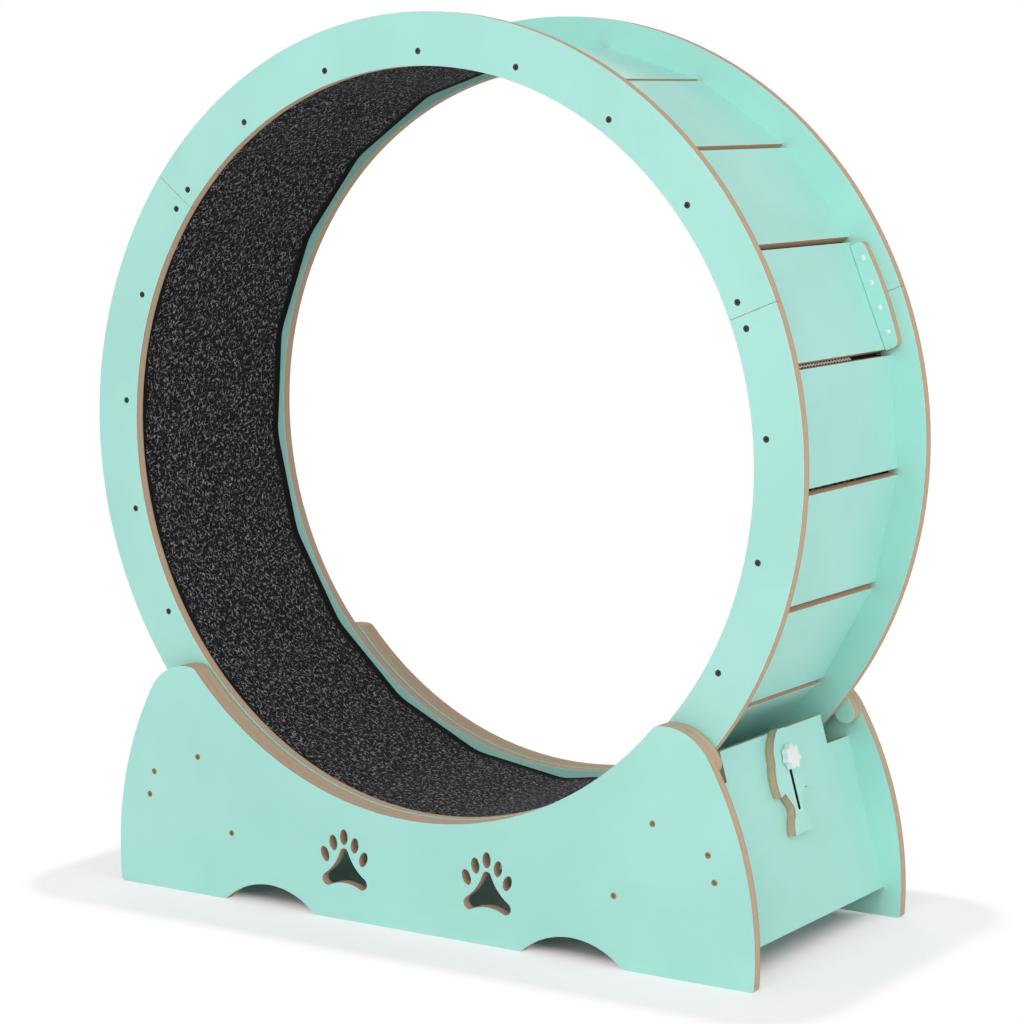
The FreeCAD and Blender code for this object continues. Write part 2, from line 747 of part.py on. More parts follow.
def roller_fork():
    """Rear fork on the upright roller board: a plate with two cheeks and the axle's holes."""
    height, offset = roller_place()
    board_face = -roller_board_thickness / 2.0
    plate = Part.makeBox(fork_sheet, fork_plate_width, fork_plate_length,
                         FreeCAD.Vector(board_face - fork_sheet, ring_middle_y - fork_plate_width / 2.0,
                                        height - fork_plate_length / 2.0))
    half_inside = roller_width / 2.0 + fork_side_gap
    root_x = board_face - fork_sheet
    axle_point = flat(offset, height)
    nose_top = axle_point + FreeCAD.Vector(0, 0, fork_cheek_nose_radius)
    nose_bottom = axle_point - FreeCAD.Vector(0, 0, fork_cheek_nose_radius)
    nose_tip = axle_point - FreeCAD.Vector(fork_cheek_nose_radius, 0, 0)
    root_top = flat(root_x, height + fork_cheek_base_length / 2.0)
    root_bottom = flat(root_x, height - fork_cheek_base_length / 2.0)
    edges = [line(root_bottom, root_top), line(root_top, nose_top), arc(nose_top, nose_tip, nose_bottom),
             line(nose_bottom, root_bottom)]
    cheeks = [board(edges, fork_sheet, ring_middle_y + half_inside),
              board(edges, fork_sheet, ring_middle_y - half_inside - fork_sheet)]
    holes = [rod(axle_radius + axle_fit_clearance, 2.0 * (half_inside + fork_sheet),
                 FreeCAD.Vector(offset, ring_middle_y - half_inside - fork_sheet, height), ALONG_Y)]
    for seat in fork_screw_places():
        holes.append(rod(small_hole_radius, fork_sheet, seat, FreeCAD.Vector(1, 0, 0)))
    return plate.fuse(cheeks).cut(holes).removeSplitter()


def revolved(profile):
    """Solid turned about the Y axis from (radius, y) points."""
    points = [FreeCAD.Vector(radius, y, 0) for radius, y in profile]
    wire = Part.makePolygon(points + [points[0]])
    return Part.Face(wire).revolve(FreeCAD.Vector(0, 0, 0), ALONG_Y, 360.0)


def roller():
    """Grooved roller about the Y axis: the ring's edge runs between its two flanges."""
    half_width = roller_width / 2.0
    half_groove = ring_thickness / 2.0 + roller_ring_side_clearance
    flange = roller_tread_radius + roller_flange_height
    bore = bearing_outer_radius + bearing_running_clearance
    bevel = roller_flange_chamfer
    profile = [(bore, -half_width), (flange - bevel, -half_width), (flange, bevel - half_width),
               (flange, roller_flange_lip - half_width), (roller_tread_radius, -half_groove),
               (roller_tread_radius, half_groove), (flange, half_width - roller_flange_lip),
               (flange, half_width - bevel), (flange - bevel, half_width), (bore, half_width)]
    return revolved(profile)


def bearing():
    """Sealed ball bearing from Y = 0 to its width: two races and the shields between them."""
    inner = axle_radius + axle_fit_clearance
    inner_race = inner + bearing_race_wall
    outer_race = bearing_outer_radius - bearing_race_wall
    near = bearing_shield_recess
    far = bearing_width - bearing_shield_recess
    profile = [(inner, 0), (inner_race, 0), (inner_race, near), (outer_race, near), (outer_race, 0),
               (bearing_outer_radius, 0), (bearing_outer_radius, bearing_width), (outer_race, bearing_width),
               (outer_race, far), (inner_race, far), (inner_race, bearing_width), (inner, bearing_width)]
    return revolved(profile)


def tube(inner, outer, near_y, far_y):
    return revolved([(inner, near_y), (outer, near_y), (outer, far_y), (inner, far_y)])


def hexagon(near_y, height):
    """Hexagonal prism about the Y axis."""
    corner = hex_across_flats / math.sqrt(3.0)
    points = [flat(corner * math.cos(math.radians(60.0 * index)), corner * math.sin(math.radians(60.0 * index)))
              for index in range(7)]
    face = Part.Face(Part.makePolygon(points))
    face.translate(FreeCAD.Vector(0, near_y, 0))
    return face.extrude(FreeCAD.Vector(0, height, 0))


def axle_parts():
    """Bearings, spacers, bolt and nut of one rear roller, about the Y axis at the ring's middle."""
    half_width = roller_width / 2.0
    half_inside = half_width + fork_side_gap
    cheek_face = half_inside + fork_sheet
    bore = axle_radius + axle_fit_clearance
    inside_bearing = half_width - bearing_width
    near_bearing = bearing()
    near_bearing.translate(FreeCAD.Vector(0, -half_width, 0))
    far_bearing = bearing()
    far_bearing.translate(FreeCAD.Vector(0, inside_bearing, 0))
    wall = bore + axle_spacer_wall
    spacers = [tube(bore, wall, -inside_bearing, inside_bearing), tube(bore, wall, half_width, half_inside),
               tube(bore, wall, -half_inside, -half_width)]
    reach = cheek_face + nut_height + axle_end_length
    shank = rod(axle_radius, reach + cheek_face, FreeCAD.Vector(0, -cheek_face, 0), ALONG_Y)
    bolt = shank.fuse(hexagon(-cheek_face - bolt_head_height, bolt_head_height)).removeSplitter()
    nut_bore = rod(bore, nut_height, FreeCAD.Vector(0, cheek_face, 0), ALONG_Y)
    nut = hexagon(cheek_face, nut_height).cut(nut_bore)
    return [near_bearing, far_bearing], spacers, bolt, nut


def at_roller(shape):
    """Move a shape from the Y axis to the rear right roller's axle."""
    height, offset = roller_place()
    center = on_incline(roller_board_foot_x, roller_board_lean, height, offset)
    copy = shape.copy()
    copy.translate(center + ALONG_Y * ring_middle_y)
    return copy


def build_base():
    outline = SideOutline()
    rear_side = side_panel(outline)
    nodes["rear_side_panel"] = rear_side
    nodes["front_side_panel"] = mirrored_y(rear_side)
    rear_doubler = edge_doubler(outline)
    nodes["rear_edge_doubler"] = rear_doubler
    nodes["front_edge_doubler"] = mirrored_y(rear_doubler)
    nodes["right_end_panel"] = end_panel(True)
    nodes["left_end_panel"] = mirrored_x(end_panel(False))
    right_board = roller_board()
    nodes["right_roller_board"] = right_board
    nodes["left_roller_board"] = mirrored_x(right_board)

    screws = []
    for place in base_screw_places():
        for x_side in (-1, 1):
            for y_side in (-1, 1):
                mouth = FreeCAD.Vector(x_side * place.x, y_side * side_outer_face, place.z)
                screws.append(aimed(board_screw, mouth, ALONG_Y * -y_side))
    nodes["base_screws"] = Part.makeCompound(screws)


def build_rollers():
    bearings, spacers, bolt, nut = axle_parts()
    fork = inclined(roller_fork(), roller_board_foot_x, roller_board_lean)
    one_roller = at_roller(roller())
    fork_screws = [inclined(aimed(fork_screw, seat, FreeCAD.Vector(1, 0, 0)), roller_board_foot_x,
                            roller_board_lean) for seat in fork_screw_places()]
    groups = {
        "roller_bearings": [at_roller(item) for item in bearings],
        "axle_spacers": [at_roller(item) for item in spacers],
        "axle_bolts": [at_roller(bolt)],
        "axle_nuts": [at_roller(nut)],
        "fork_screws": fork_screws,
    }
    for y_name in ("rear", "front"):
        for x_name in ("right", "left"):
            def to_corner(shape):
                copy = shape if y_name == "rear" else mirrored_y(shape)
                return copy if x_name == "right" else mirrored_x(copy)
            corner = "%s_%s" % (y_name, x_name)
            nodes[corner + "_roller"] = to_corner(one_roller)
            nodes[corner + "_roller_fork"] = to_corner(fork)
            for name, items in groups.items():
                nodes.setdefault(name, []).extend([to_corner(item) for item in items])
    for name in groups:
        nodes[name] = Part.makeCompound(nodes[name])


# ---------------------------------------------------------------- wheel lock
def lock_plate_top():
    """Height of the lowered lock plate's top, along the end panel."""
    return end_panel_top + lock_plate_rise


def lock_stud_height():
    """Height of the lock's stud along the end panel: at the slot's top end while the plate is down."""
    return lock_plate_top() - lock_slot_top


def lock_travel():
    """How far the plate slides up until its head is just short of the planks' corners."""
    start = on_incline(end_panel_foot_x, -end_panel_lean, 0.0, lock_slide_gap) - AXLE
    up = on_incline(0.0, -end_panel_lean, 1.0, 0.0)
    half_b = start.dot(up)
    reach = plank_corner_radius + lock_wheel_gap
    highest = -half_b - math.sqrt(half_b ** 2 - start.dot(start) + reach ** 2)
    return highest - lock_plate_top()


def fish_point(depth, half_width):
    """Point of the lock plate's outline, by its depth below the plate's top."""
    return FreeCAD.Vector(0, half_width, lock_plate_top() - depth)


def fish_outline():
    """Right half of the fish: head, gill, fin with its notch, waist and tail."""
    nose = fish_point(0.0, lock_nose_half_width)
    brow = fish_point(*fish_brow)
    cheek = fish_point(*fish_cheek)
    eye_line = fish_point(*fish_eye_line)
    gill = fish_point(*fish_gill)
    back = fish_point(*fish_back)
    belly = fish_point(*fish_belly)
    fin = fish_point(*fish_fin)
    fin_tip = fish_point(*fish_fin_tip)
    fin_notch = fish_point(*fish_fin_notch)
    stem = fish_point(*fish_stem)
    waist_start = fish_point(*fish_waist_start)
    waist = fish_point(*fish_waist)
    waist_end = fish_point(*fish_waist_end)
    tail_flare = fish_point(*fish_tail_flare)
    tail_tip = fish_point(lock_plate_length, lock_tail_half_width)
    return [arc(nose, brow, cheek), arc(cheek, eye_line, gill), arc(gill, back, belly),
            arc(belly, fin, fin_tip), line(fin_tip, fin_notch), arc(fin_notch, stem, waist_start),
            arc(waist_start, waist, waist_end), arc(waist_end, tail_flare, tail_tip)]


def extruded_x(edges, near_x, thickness):
    """Solid of a closed outline in the YZ plane."""
    wire = Part.Wire(Part.sortEdges(edges)[0])
    face = Part.Face(wire)
    face.translate(FreeCAD.Vector(near_x, 0, 0))
    return face.extrude(FreeCAD.Vector(thickness, 0, 0))


def lock_plate():
    half = fish_outline()
    edges = half + [mirrored_y(edge) for edge in half]
    edges.append(line(fish_point(0.0, -lock_nose_half_width), fish_point(0.0, lock_nose_half_width)))
    edges.append(line(fish_point(lock_plate_length, -lock_tail_half_width),
                      fish_point(lock_plate_length, lock_tail_half_width)))
    plate = extruded_x(edges, lock_slide_gap, lock_plate_thickness)
    half_slot = lock_slot_width / 2.0
    slot = Part.makeBox(lock_plate_thickness, lock_slot_width, lock_slot_bottom - lock_slot_top,
                        FreeCAD.Vector(lock_slide_gap, -half_slot, lock_plate_top() - lock_slot_bottom))
    ends = [rod(half_slot, lock_plate_thickness,
                FreeCAD.Vector(lock_slide_gap, 0, lock_plate_top() - depth), FreeCAD.Vector(1, 0, 0))
            for depth in (lock_slot_top, lock_slot_bottom)]
    plate = plate.cut([slot] + ends)
    plate.translate(FreeCAD.Vector(0, lock_center_y, 0))
    return plate


def knob_outline():
    """Star outline in the YZ plane about the X axis: round lobes with shallow waists between them."""
    middle_radius = (lock_knob_radius + lock_knob_waist_radius) / 2.0
    quarter = 360.0 / lock_knob_lobes / 4.0

    def at(radius, steps):
        turn = math.radians(90.0 + steps * quarter)
        return FreeCAD.Vector(0, radius * math.cos(turn), radius * math.sin(turn))

    edges = []
    for lobe in range(lock_knob_lobes):
        first = 4 * lobe
        edges.append(arc(at(middle_radius, first - 1), at(lock_knob_radius, first), at(middle_radius, first + 1)))
        edges.append(arc(at(middle_radius, first + 1), at(lock_knob_waist_radius, first + 2),
                         at(middle_radius, first + 3)))
    return edges


def build_lock():
    stud_place = FreeCAD.Vector(0, lock_center_y, lock_stud_height())
    out = FreeCAD.Vector(1, 0, 0)
    washer_seat = lock_slide_gap + lock_plate_thickness + lock_washer_gap
    knob_seat = washer_seat + lock_washer_thickness
    stud_start = -(end_panel_thickness + tee_nut_flange_thickness + lock_stud_past_nut)
    stud_end = knob_seat + lock_stud_in_knob

    knob = extruded_x(knob_outline(), knob_seat, lock_knob_height)
    rim = [edge for edge in knob.Edges if edge.BoundBox.XMin > knob_seat + lock_knob_height - 0.01]
    knob = knob.makeFillet(lock_knob_edge_radius, rim)
    knob = knob.cut(rod(lock_stud_radius, lock_stud_in_knob, FreeCAD.Vector(knob_seat, 0, 0), out))
    stud = rod(lock_stud_radius, stud_end - stud_start, FreeCAD.Vector(stud_start, 0, 0), out)
    washer = rod(lock_washer_radius, lock_washer_thickness, FreeCAD.Vector(washer_seat, 0, 0), out).cut(
        rod(lock_stud_radius, lock_washer_thickness, FreeCAD.Vector(washer_seat, 0, 0), out))
    nut_back = -end_panel_thickness
    flange = rod(tee_nut_flange_radius, tee_nut_flange_thickness,
                 FreeCAD.Vector(nut_back - tee_nut_flange_thickness, 0, 0), out)
    barrel = rod(tee_nut_barrel_radius, tee_nut_barrel_length, FreeCAD.Vector(nut_back, 0, 0), out)
    thread = rod(lock_stud_radius + lock_stud_clearance, end_panel_thickness + tee_nut_flange_thickness,
                 FreeCAD.Vector(nut_back - tee_nut_flange_thickness, 0, 0), out)
    tee_nut = flange.fuse(barrel).cut(thread).removeSplitter()

    nodes["lock_plate"] = inclined(lock_plate(), end_panel_foot_x, -end_panel_lean)
    for name, shape in (("lock_knob", knob), ("lock_stud", stud), ("lock_washer", washer),
                        ("lock_tee_nut", tee_nut)):
        shape.translate(stud_place)
        nodes[name] = inclined(shape, end_panel_foot_x, -end_panel_lean)


# ---------------------------------------------------------------- everything
build_wheel()
build_base()
build_rollers()
build_lock()

os.makedirs("parts", exist_ok=True)
for node_name, node_shape in nodes.items():
    node_shape.exportStep("parts/%s.step" % node_name)
    box = node_shape.BoundBox
    print("%-26s solids %2d volume %11.1f valid %s z %.1f..%.1f" % (
        node_name, len(node_shape.Solids), node_shape.Volume, node_shape.isValid(), box.ZMin, box.ZMax))

roller_center = at_roller(Part.Vertex(0, 0, 0)).Point
print("roller axle x %.3f z %.3f, lock travel %.3f, stud height %.3f, plank corner %.3f" % (
    roller_center.x, roller_center.z, lock_travel(), lock_stud_height(), plank_corner_radius))
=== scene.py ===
"""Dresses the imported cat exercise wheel: boards, mat, fasteners, rollers, wheel lock, studio and camera."""
import logging
import math
from dataclasses import dataclass, field
from enum import Enum
from typing import Dict, List, Optional, Sequence, Tuple, Union

import bmesh
import bpy
from mathutils import Matrix, Vector, noise


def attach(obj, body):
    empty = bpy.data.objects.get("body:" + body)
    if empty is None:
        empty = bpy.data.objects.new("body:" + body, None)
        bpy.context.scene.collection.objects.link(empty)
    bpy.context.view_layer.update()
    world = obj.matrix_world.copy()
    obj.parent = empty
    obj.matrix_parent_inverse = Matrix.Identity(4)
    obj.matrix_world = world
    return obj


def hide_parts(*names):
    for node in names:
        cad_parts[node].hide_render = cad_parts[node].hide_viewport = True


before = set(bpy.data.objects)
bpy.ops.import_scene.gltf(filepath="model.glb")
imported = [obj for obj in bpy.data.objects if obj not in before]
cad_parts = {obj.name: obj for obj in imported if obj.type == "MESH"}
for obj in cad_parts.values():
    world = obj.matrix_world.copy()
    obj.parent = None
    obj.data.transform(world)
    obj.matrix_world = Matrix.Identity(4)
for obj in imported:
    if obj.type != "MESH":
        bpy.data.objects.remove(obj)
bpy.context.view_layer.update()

Colour = Tuple[float, float, float, float]
Feed = Union["Wire", float, Sequence[float]]

logging.basicConfig(level=logging.INFO, format="%(message)s")
log = logging.getLogger("cat_wheel")


def ink(red: int, green: int, blue: int) -> Colour:
    """Linear colour from display values of 0 to 255.

    Args:
        red: red display value.
        green: green display value.
        blue: blue display value.

    Returns:
        The linear colour, opaque.
    """
    def linear(value: int) -> float:
        """One channel, from display to linear."""
        share = value / 255
        return share / 12.92 if share <= 0.04045 else ((share + 0.055) / 1.055) ** 2.4
    return linear(red), linear(green), linear(blue), 1.0


class Body(Enum):
    """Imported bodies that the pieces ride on."""

    BASE = "base"
    WHEEL = "wheel"
    LOCK_PLATE = "lock_plate"
    LOCK_KNOB = "lock_knob"


class Slot(Enum):
    """Material slots of the record."""

    BOARD = "mint_board"
    MAT = "mat"
    KNOB = "white_knob"


class BoardZone(Enum):
    """Zones of a board, by their place in its list of materials."""

    FACE = 0
    EDGE = 1
    ARRIS = 2


class MatZone(Enum):
    """Zones of the running mat, by their place in its list of materials."""

    FELT = 0
    BORDER = 1


# ---------------------------------------------------------------- shader writing

class Wire:
    """A shader socket that takes part in arithmetic: each operation adds its Math node."""

    def __init__(self, shader: "Shader", socket: bpy.types.NodeSocket) -> None:
        """Wraps a socket of a shader's node tree."""
        self.shader = shader
        self.socket = socket

    def _math(self, operation: str, left: Feed, right: Feed) -> "Wire":
        """A Math node on two values."""
        return self.shader.node("ShaderNodeMath", {"operation": operation}, {0: left, 1: right})

    def __add__(self, other: Feed) -> "Wire":
        """Sum."""
        return self._math("ADD", self, other)

    def __radd__(self, other: Feed) -> "Wire":
        """Sum, from the right."""
        return self._math("ADD", other, self)

    def __sub__(self, other: Feed) -> "Wire":
        """Difference."""
        return self._math("SUBTRACT", self, other)

    def __rsub__(self, other: Feed) -> "Wire":
        """Difference, from the right."""
        return self._math("SUBTRACT", other, self)

    def __mul__(self, other: Feed) -> "Wire":
        """Product."""
        return self._math("MULTIPLY", self, other)

    def __rmul__(self, other: Feed) -> "Wire":
        """Product, from the right."""
        return self._math("MULTIPLY", other, self)

    def __abs__(self) -> "Wire":
        """Size without its sign."""
        return self._math("ABSOLUTE", self, 0.0)

    def larger(self, other: Feed) -> "Wire":
        """The larger of two values."""
        return self._math("MAXIMUM", self, other)

    def rise(self, low: float, high: float) -> "Wire":
        """A smooth rise from 0 at low to 1 at high.

        Args:
            low: value at which the rise starts.
            high: value at which it ends.

        Returns:
            The mask.
        """
        return self.shader.node("ShaderNodeMapRange", {"interpolation_type": "SMOOTHSTEP"},
                                {"Value": self, "From Min": low, "From Max": high})


class Shader:
    """A node tree, written as expressions on its sockets."""

    def __init__(self, tree: bpy.types.NodeTree) -> None:
        """Takes the tree of a material or the world."""
        self.tree = tree

    def node(self, kind: str, settings: Dict[str, object], sockets: Dict[Union[str, int], Feed],
             output: Union[str, int] = 0) -> Wire:
        """Adds any node.

        Args:
            kind: the node's type.
            settings: its settings, set first; a ramp's are under "stops".
            sockets: values or wires of its inputs, by name or number.
            output: the output that is wanted.

        Returns:
            The wire of that output.
        """
        made = self.tree.nodes.new(kind)
        for name, value in settings.items():
            if name == "stops":
                self._stops(made.color_ramp, value)
            else:
                setattr(made, name, value)
        for name, value in sockets.items():
            if isinstance(value, Wire):
                self.tree.links.new(value.socket, made.inputs[name])
            else:
                made.inputs[name].default_value = value
        return Wire(self, made.outputs[output])

    @staticmethod
    def _stops(ramp: bpy.types.ColorRamp, stops: Sequence[Tuple[float, Colour]]) -> None:
        """Sets a ramp's stops, two of which are there already."""
        while len(ramp.elements) < len(stops):
            ramp.elements.new(1.0)
        for element, (place, colour) in zip(ramp.elements, stops):
            element.position = place
            element.color = colour

    def place(self) -> Wire:
        """Object coordinates, in metres."""
        return self.node("ShaderNodeTexCoord", {}, {}, "Object")

    def cloth_place(self) -> Wire:
        """The piece's own UV map, in metres along and across the cloth."""
        return self.node("ShaderNodeUVMap", {"uv_map": "cloth"}, {})

    def attribute(self, name: str) -> Wire:
        """A number that the mesh keeps at its vertices."""
        return self.node("ShaderNodeAttribute", {"attribute_name": name}, {}, "Fac")

    def stretched(self, place: Wire, scale: Sequence[float], turn: float = 0.0) -> Wire:
        """Coordinates scaled along each axis, after a turn about the third.

        Args:
            place: coordinates.
            scale: factor along each axis.
            turn: turn about the third axis, in radians.

        Returns:
            The new coordinates.
        """
        turned = self.node("ShaderNodeMapping", {}, {"Vector": place, "Rotation": (0.0, 0.0, turn)})
        return self.node("ShaderNodeMapping", {}, {"Vector": turned, "Scale": tuple(scale)})

    def noise(self, place: Wire, size: float, detail: float = 2.0, rough: float = 0.5) -> Wire:
        """Soft noise.

        Args:
            place: coordinates.
            size: size of its spots, in the coordinates' units.
            detail: levels of finer noise.
            rough: strength of the finer levels.

        Returns:
            Its value.
        """
        return self.node("ShaderNodeTexNoise", {"noise_dimensions": "3D"},
                         {"Vector": place, "Scale": 1 / size, "Detail": detail, "Roughness": rough})

    def cells(self, place: Wire, size: float) -> Wire:
        """Distance to the nearest of scattered points, as for grit and flecks."""
        return self.node("ShaderNodeTexVoronoi", {"feature": "F1"}, {"Vector": place, "Scale": 1 / size})

    def blend(self, mask: Wire, low: Feed, high: Feed) -> Wire:
        """A colour between two, by a mask."""
        return self.node("ShaderNodeMix", {"data_type": "RGBA"}, {0: mask, 6: low, 7: high}, 2)

    def bump(self, height: Wire, depth: float, strength: float = 1.0) -> Wire:
        """A normal from a height, whose full range is that deep."""
        return self.node("ShaderNodeBump", {}, {"Height": height, "Distance": depth, "Strength": strength})


@dataclass(frozen=True)
class Finish:
    """What every finish shares: a name, and a material that is made once."""

    name: str

    def material(self) -> bpy.types.Material:
        """The finish's material, made at its first use."""
        found = bpy.data.materials.get(self.name)
        if found is None:
            found = bpy.data.materials.new(self.name)
            found.use_nodes = True
            self.write(Shader(found.node_tree))
        return found

    def write(self, shader: Shader) -> None:
        """Writes the finish's nodes."""
        raise NotImplementedError

    @staticmethod
    def surface(shader: Shader, sockets: Dict[str, Feed]) -> None:
        """Sets or links sockets of the surface shader.

        Args:
            shader: the finish's node tree.
            sockets: values and wires, by the socket's name.
        """
        principled = shader.tree.nodes["Principled BSDF"]
        for name, value in sockets.items():
            if isinstance(value, Wire):
                shader.tree.links.new(value.socket, principled.inputs[name])
            else:
                principled.inputs[name].default_value = value


@dataclass(frozen=True)
class MintLaminate(Finish):
    """Mint melamine face: nearly even colour, faint clouds, a fine pearl in its gloss, light rubbed marks."""

    name: str = "mint_laminate"
    face: Colour = ink(176, 233, 223)
    cloud: Colour = ink(170, 228, 217)
    mark: Colour = ink(188, 238, 229)
    pearl: float = 0.0011
    gloss: float = 0.36

    def write(self, shader: Shader) -> None:
        """Writes the laminate's nodes."""
        place = shader.place()
        clouds = shader.noise(place, 0.16, 3.0, 0.55).rise(0.35, 0.68)
        pearl = shader.noise(place, self.pearl, 1.0, 0.4)
        rubs = shader.noise(shader.stretched(place, (1.0, 1.0, 0.12), 0.4), 0.011, 4.0, 0.62).rise(0.66, 0.8)
        colour = shader.blend(rubs * 0.35, shader.blend(clouds, self.face, self.cloud), self.mark)
        self.surface(shader, {
            "Base Color": colour,
            "Roughness": self.gloss + 0.07 * pearl + 0.05 * clouds + 0.08 * rubs,
            "Specular IOR Level": 0.42,
            "Normal": shader.bump(pearl, 0.00003, 0.6),
        })


@dataclass(frozen=True)
class RawBoardEdge(Finish):
    """Sawn fibreboard edge: pale core, denser darker rims, faint layers, short fibres and specks."""

    name: str = "raw_board_edge"
    core: Colour = ink(198, 172, 145)
    rim: Colour = ink(170, 143, 116)
    fibre: Colour = ink(216, 194, 168)
    speck: Colour = ink(142, 113, 88)
    layers: float = 9.0

    def write(self, shader: Shader) -> None:
        """Writes the edge's nodes; "across" runs from -1 to 1 through the board."""
        place = shader.place()
        across = shader.attribute("across")
        layers = shader.node("ShaderNodeTexNoise", {"noise_dimensions": "1D"}, {
            "W": across * self.layers + shader.noise(place, 0.03) * 0.8, "Scale": 1.0, "Detail": 3.0})
        dense = abs(across).rise(0.45, 1.0) * 0.7 + layers.rise(0.45, 0.75) * 0.35
        fibres = shader.noise(place, 0.0013, 3.0, 0.65)
        specks = 1.0 - shader.cells(place, 0.0024).rise(0.08, 0.24)
        body = shader.blend(dense, self.core, self.rim)
        lit = shader.blend(fibres.rise(0.5, 0.72) * 0.6, body, self.fibre)
        colour = shader.blend(specks * 0.55, lit, self.speck)
        self.surface(shader, {
            "Base Color": colour,
            "Roughness": 0.86 - 0.1 * dense,
            "Specular IOR Level": 0.25,
            "Normal": shader.bump(fibres * 0.8 - specks * 0.4, 0.00022, 0.7),
        })


@dataclass(frozen=True)
class SlotWallShade(RawBoardEdge):
    """Walls of the lock plate's narrow slot in dark browns: painted shade for the shadow inside the slot."""

    name: str = "slot_wall_painted_shade"
    # Painted shade: these dark browns stand in for the shadow deep in the slot, not the board's own colour.
    core: Colour = ink(58, 48, 40)
    rim: Colour = ink(42, 35, 30)
    fibre: Colour = ink(84, 70, 58)
    speck: Colour = ink(28, 23, 20)


@dataclass(frozen=True)
class BoardArris(Finish):
    """Broken edge of the laminate: a pale line, partly the laminate's cut edge and partly a painted highlight
    along the edge, worn to the fibre here and there.
    """

    name: str = "board_arris"
    # film: pale mint, partly the laminate's own cut edge and partly a painted highlight on the arris.
    film: Colour = ink(205, 238, 229)
    worn: Colour = ink(214, 196, 170)

    def write(self, shader: Shader) -> None:
        """Writes the arris's nodes."""
        wear = shader.noise(shader.place(), 0.009, 4.0, 0.6).rise(0.5, 0.66)
        self.surface(shader, {
            "Base Color": shader.blend(wear * 0.8, self.film, self.worn),
            "Roughness": 0.45 + 0.3 * wear,
        })


@dataclass(frozen=True)
class HeatherFelt(Finish):
    """Charcoal heather needle felt: matted dark fibres with short pale flecks that lie every way."""

    name: str = "heather_felt"
    deep: Colour = ink(4, 4, 5)
    ground: Colour = ink(20, 20, 22)
    pale: Colour = ink(56, 56, 59)
    fleck: Colour = ink(186, 186, 190)
    fleck_length: float = 0.0085
    fleck_width: float = 0.0029
    fleck_turns: Tuple[float, ...] = (0.35, 1.35, 2.45)

    def write(self, shader: Shader) -> None:
        """Writes the felt's nodes on the mat's own map, in metres."""
        place = shader.cloth_place()
        flecks: Optional[Wire] = None
        matting: Optional[Wire] = None
        fleck_scale = (1 / self.fleck_length, 1 / self.fleck_width, 1.0)
        for turn in self.fleck_turns:
            strands = shader.noise(shader.stretched(place, fleck_scale, turn), 1.0, 2.0, 0.6)
            bright = strands.rise(0.6, 0.67)
            flecks = bright if flecks is None else flecks.larger(bright)
            matting = strands if matting is None else matting + strands
        tufts = shader.noise(place, 0.0028, 2.0, 0.65)
        patches = shader.noise(place, 0.03, 2.0, 0.5)
        body = (matting * 0.12 + tufts * 0.64).rise(0.42, 0.58)
        colour = shader.node("ShaderNodeValToRGB", {"stops": (
            (0.0, self.deep), (0.5, self.ground), (1.0, self.pale))}, {"Fac": body})
        colour = shader.blend(flecks * (0.45 + 0.5 * patches), colour, self.fleck)
        self.surface(shader, {
            "Base Color": colour,
            "Roughness": 0.93,
            "Specular IOR Level": 0.15,
            "Normal": shader.bump(body * 0.7 + flecks * 0.5, 0.0009, 0.8),
        })


@dataclass(frozen=True)
class BlackBorder(Finish):
    """Black woven edging of the mat, with fine ribs across it; the darker colour between the ribs is painted
    shade.
    """

    name: str = "black_border"
    cord: Colour = ink(24, 22, 20)
    # Painted shade: the darker colour sits in the grooves between the ribs, with random fuzz.
    groove_shade: Colour = ink(9, 8, 7)
    rib: float = 0.0012

    def write(self, shader: Shader) -> None:
        """Writes the edging's nodes."""
        place = shader.cloth_place()
        ribs = shader.node("ShaderNodeTexWave", {"wave_type": "BANDS", "bands_direction": "X"},
                           {"Vector": place, "Scale": 0.5 / self.rib, "Distortion": 0.6, "Detail": 1.0})
        fuzz = shader.noise(place, 0.0016, 3.0, 0.6)
        self.surface(shader, {
            "Base Color": shader.blend(ribs * 0.6 + fuzz * 0.4, self.groove_shade, self.cord),
            "Roughness": 0.88,
            "Specular IOR Level": 0.18,
            "Normal": shader.bump(ribs * 0.6 + fuzz * 0.5, 0.0003, 0.7),
        })


@dataclass(frozen=True)
class Thread(Finish):
    """Pale sewing thread with its twist and a little fluff."""

    name: str = "joint_thread"
    light: Colour = ink(248, 247, 244)
    shade: Colour = ink(214, 212, 207)

    def write(self, shader: Shader) -> None:
        """Writes the thread's nodes."""
        place = shader.place()
        twist = shader.noise(shader.stretched(place, (1.0, 1.0, 0.4), 0.8), 0.0006, 2.0)
        self.surface(shader, {
            "Base Color": shader.blend(twist.rise(0.35, 0.65), self.shade, self.light),
            "Roughness": 0.74,
            "Normal": shader.bump(twist, 0.0001, 0.8),
        })


@dataclass(frozen=True)
class Metal(Finish):
    """Plated or bare metal: two tones in clouds, fine wear and a turned or brushed grain in its gloss."""

    name: str = "metal"
    tone: Colour = ink(170, 170, 172)
    other: Colour = ink(150, 150, 152)
    bright: Colour = ink(205, 205, 207)
    gloss: float = 0.3
    metallic: float = 1.0
    wear: float = 0.25

    def write(self, shader: Shader) -> None:
        """Writes the metal's nodes."""
        place = shader.place()
        clouds = shader.noise(place, 0.004, 3.0, 0.6)
        grain = shader.noise(shader.stretched(place, (1.0, 0.15, 1.0)), 0.0005, 2.0)
        rubbed = shader.noise(place, 0.0021, 4.0, 0.7).rise(0.58, 0.72)
        plated = shader.blend(clouds.rise(0.35, 0.65), self.tone, self.other)
        colour = shader.blend(rubbed * self.wear, plated, self.bright)
        self.surface(shader, {
            "Base Color": colour,
            "Metallic": self.metallic,
            "Roughness": self.gloss + 0.12 * grain + 0.1 * clouds,
            "Normal": shader.bump(grain, 0.00002, 0.5),
        })


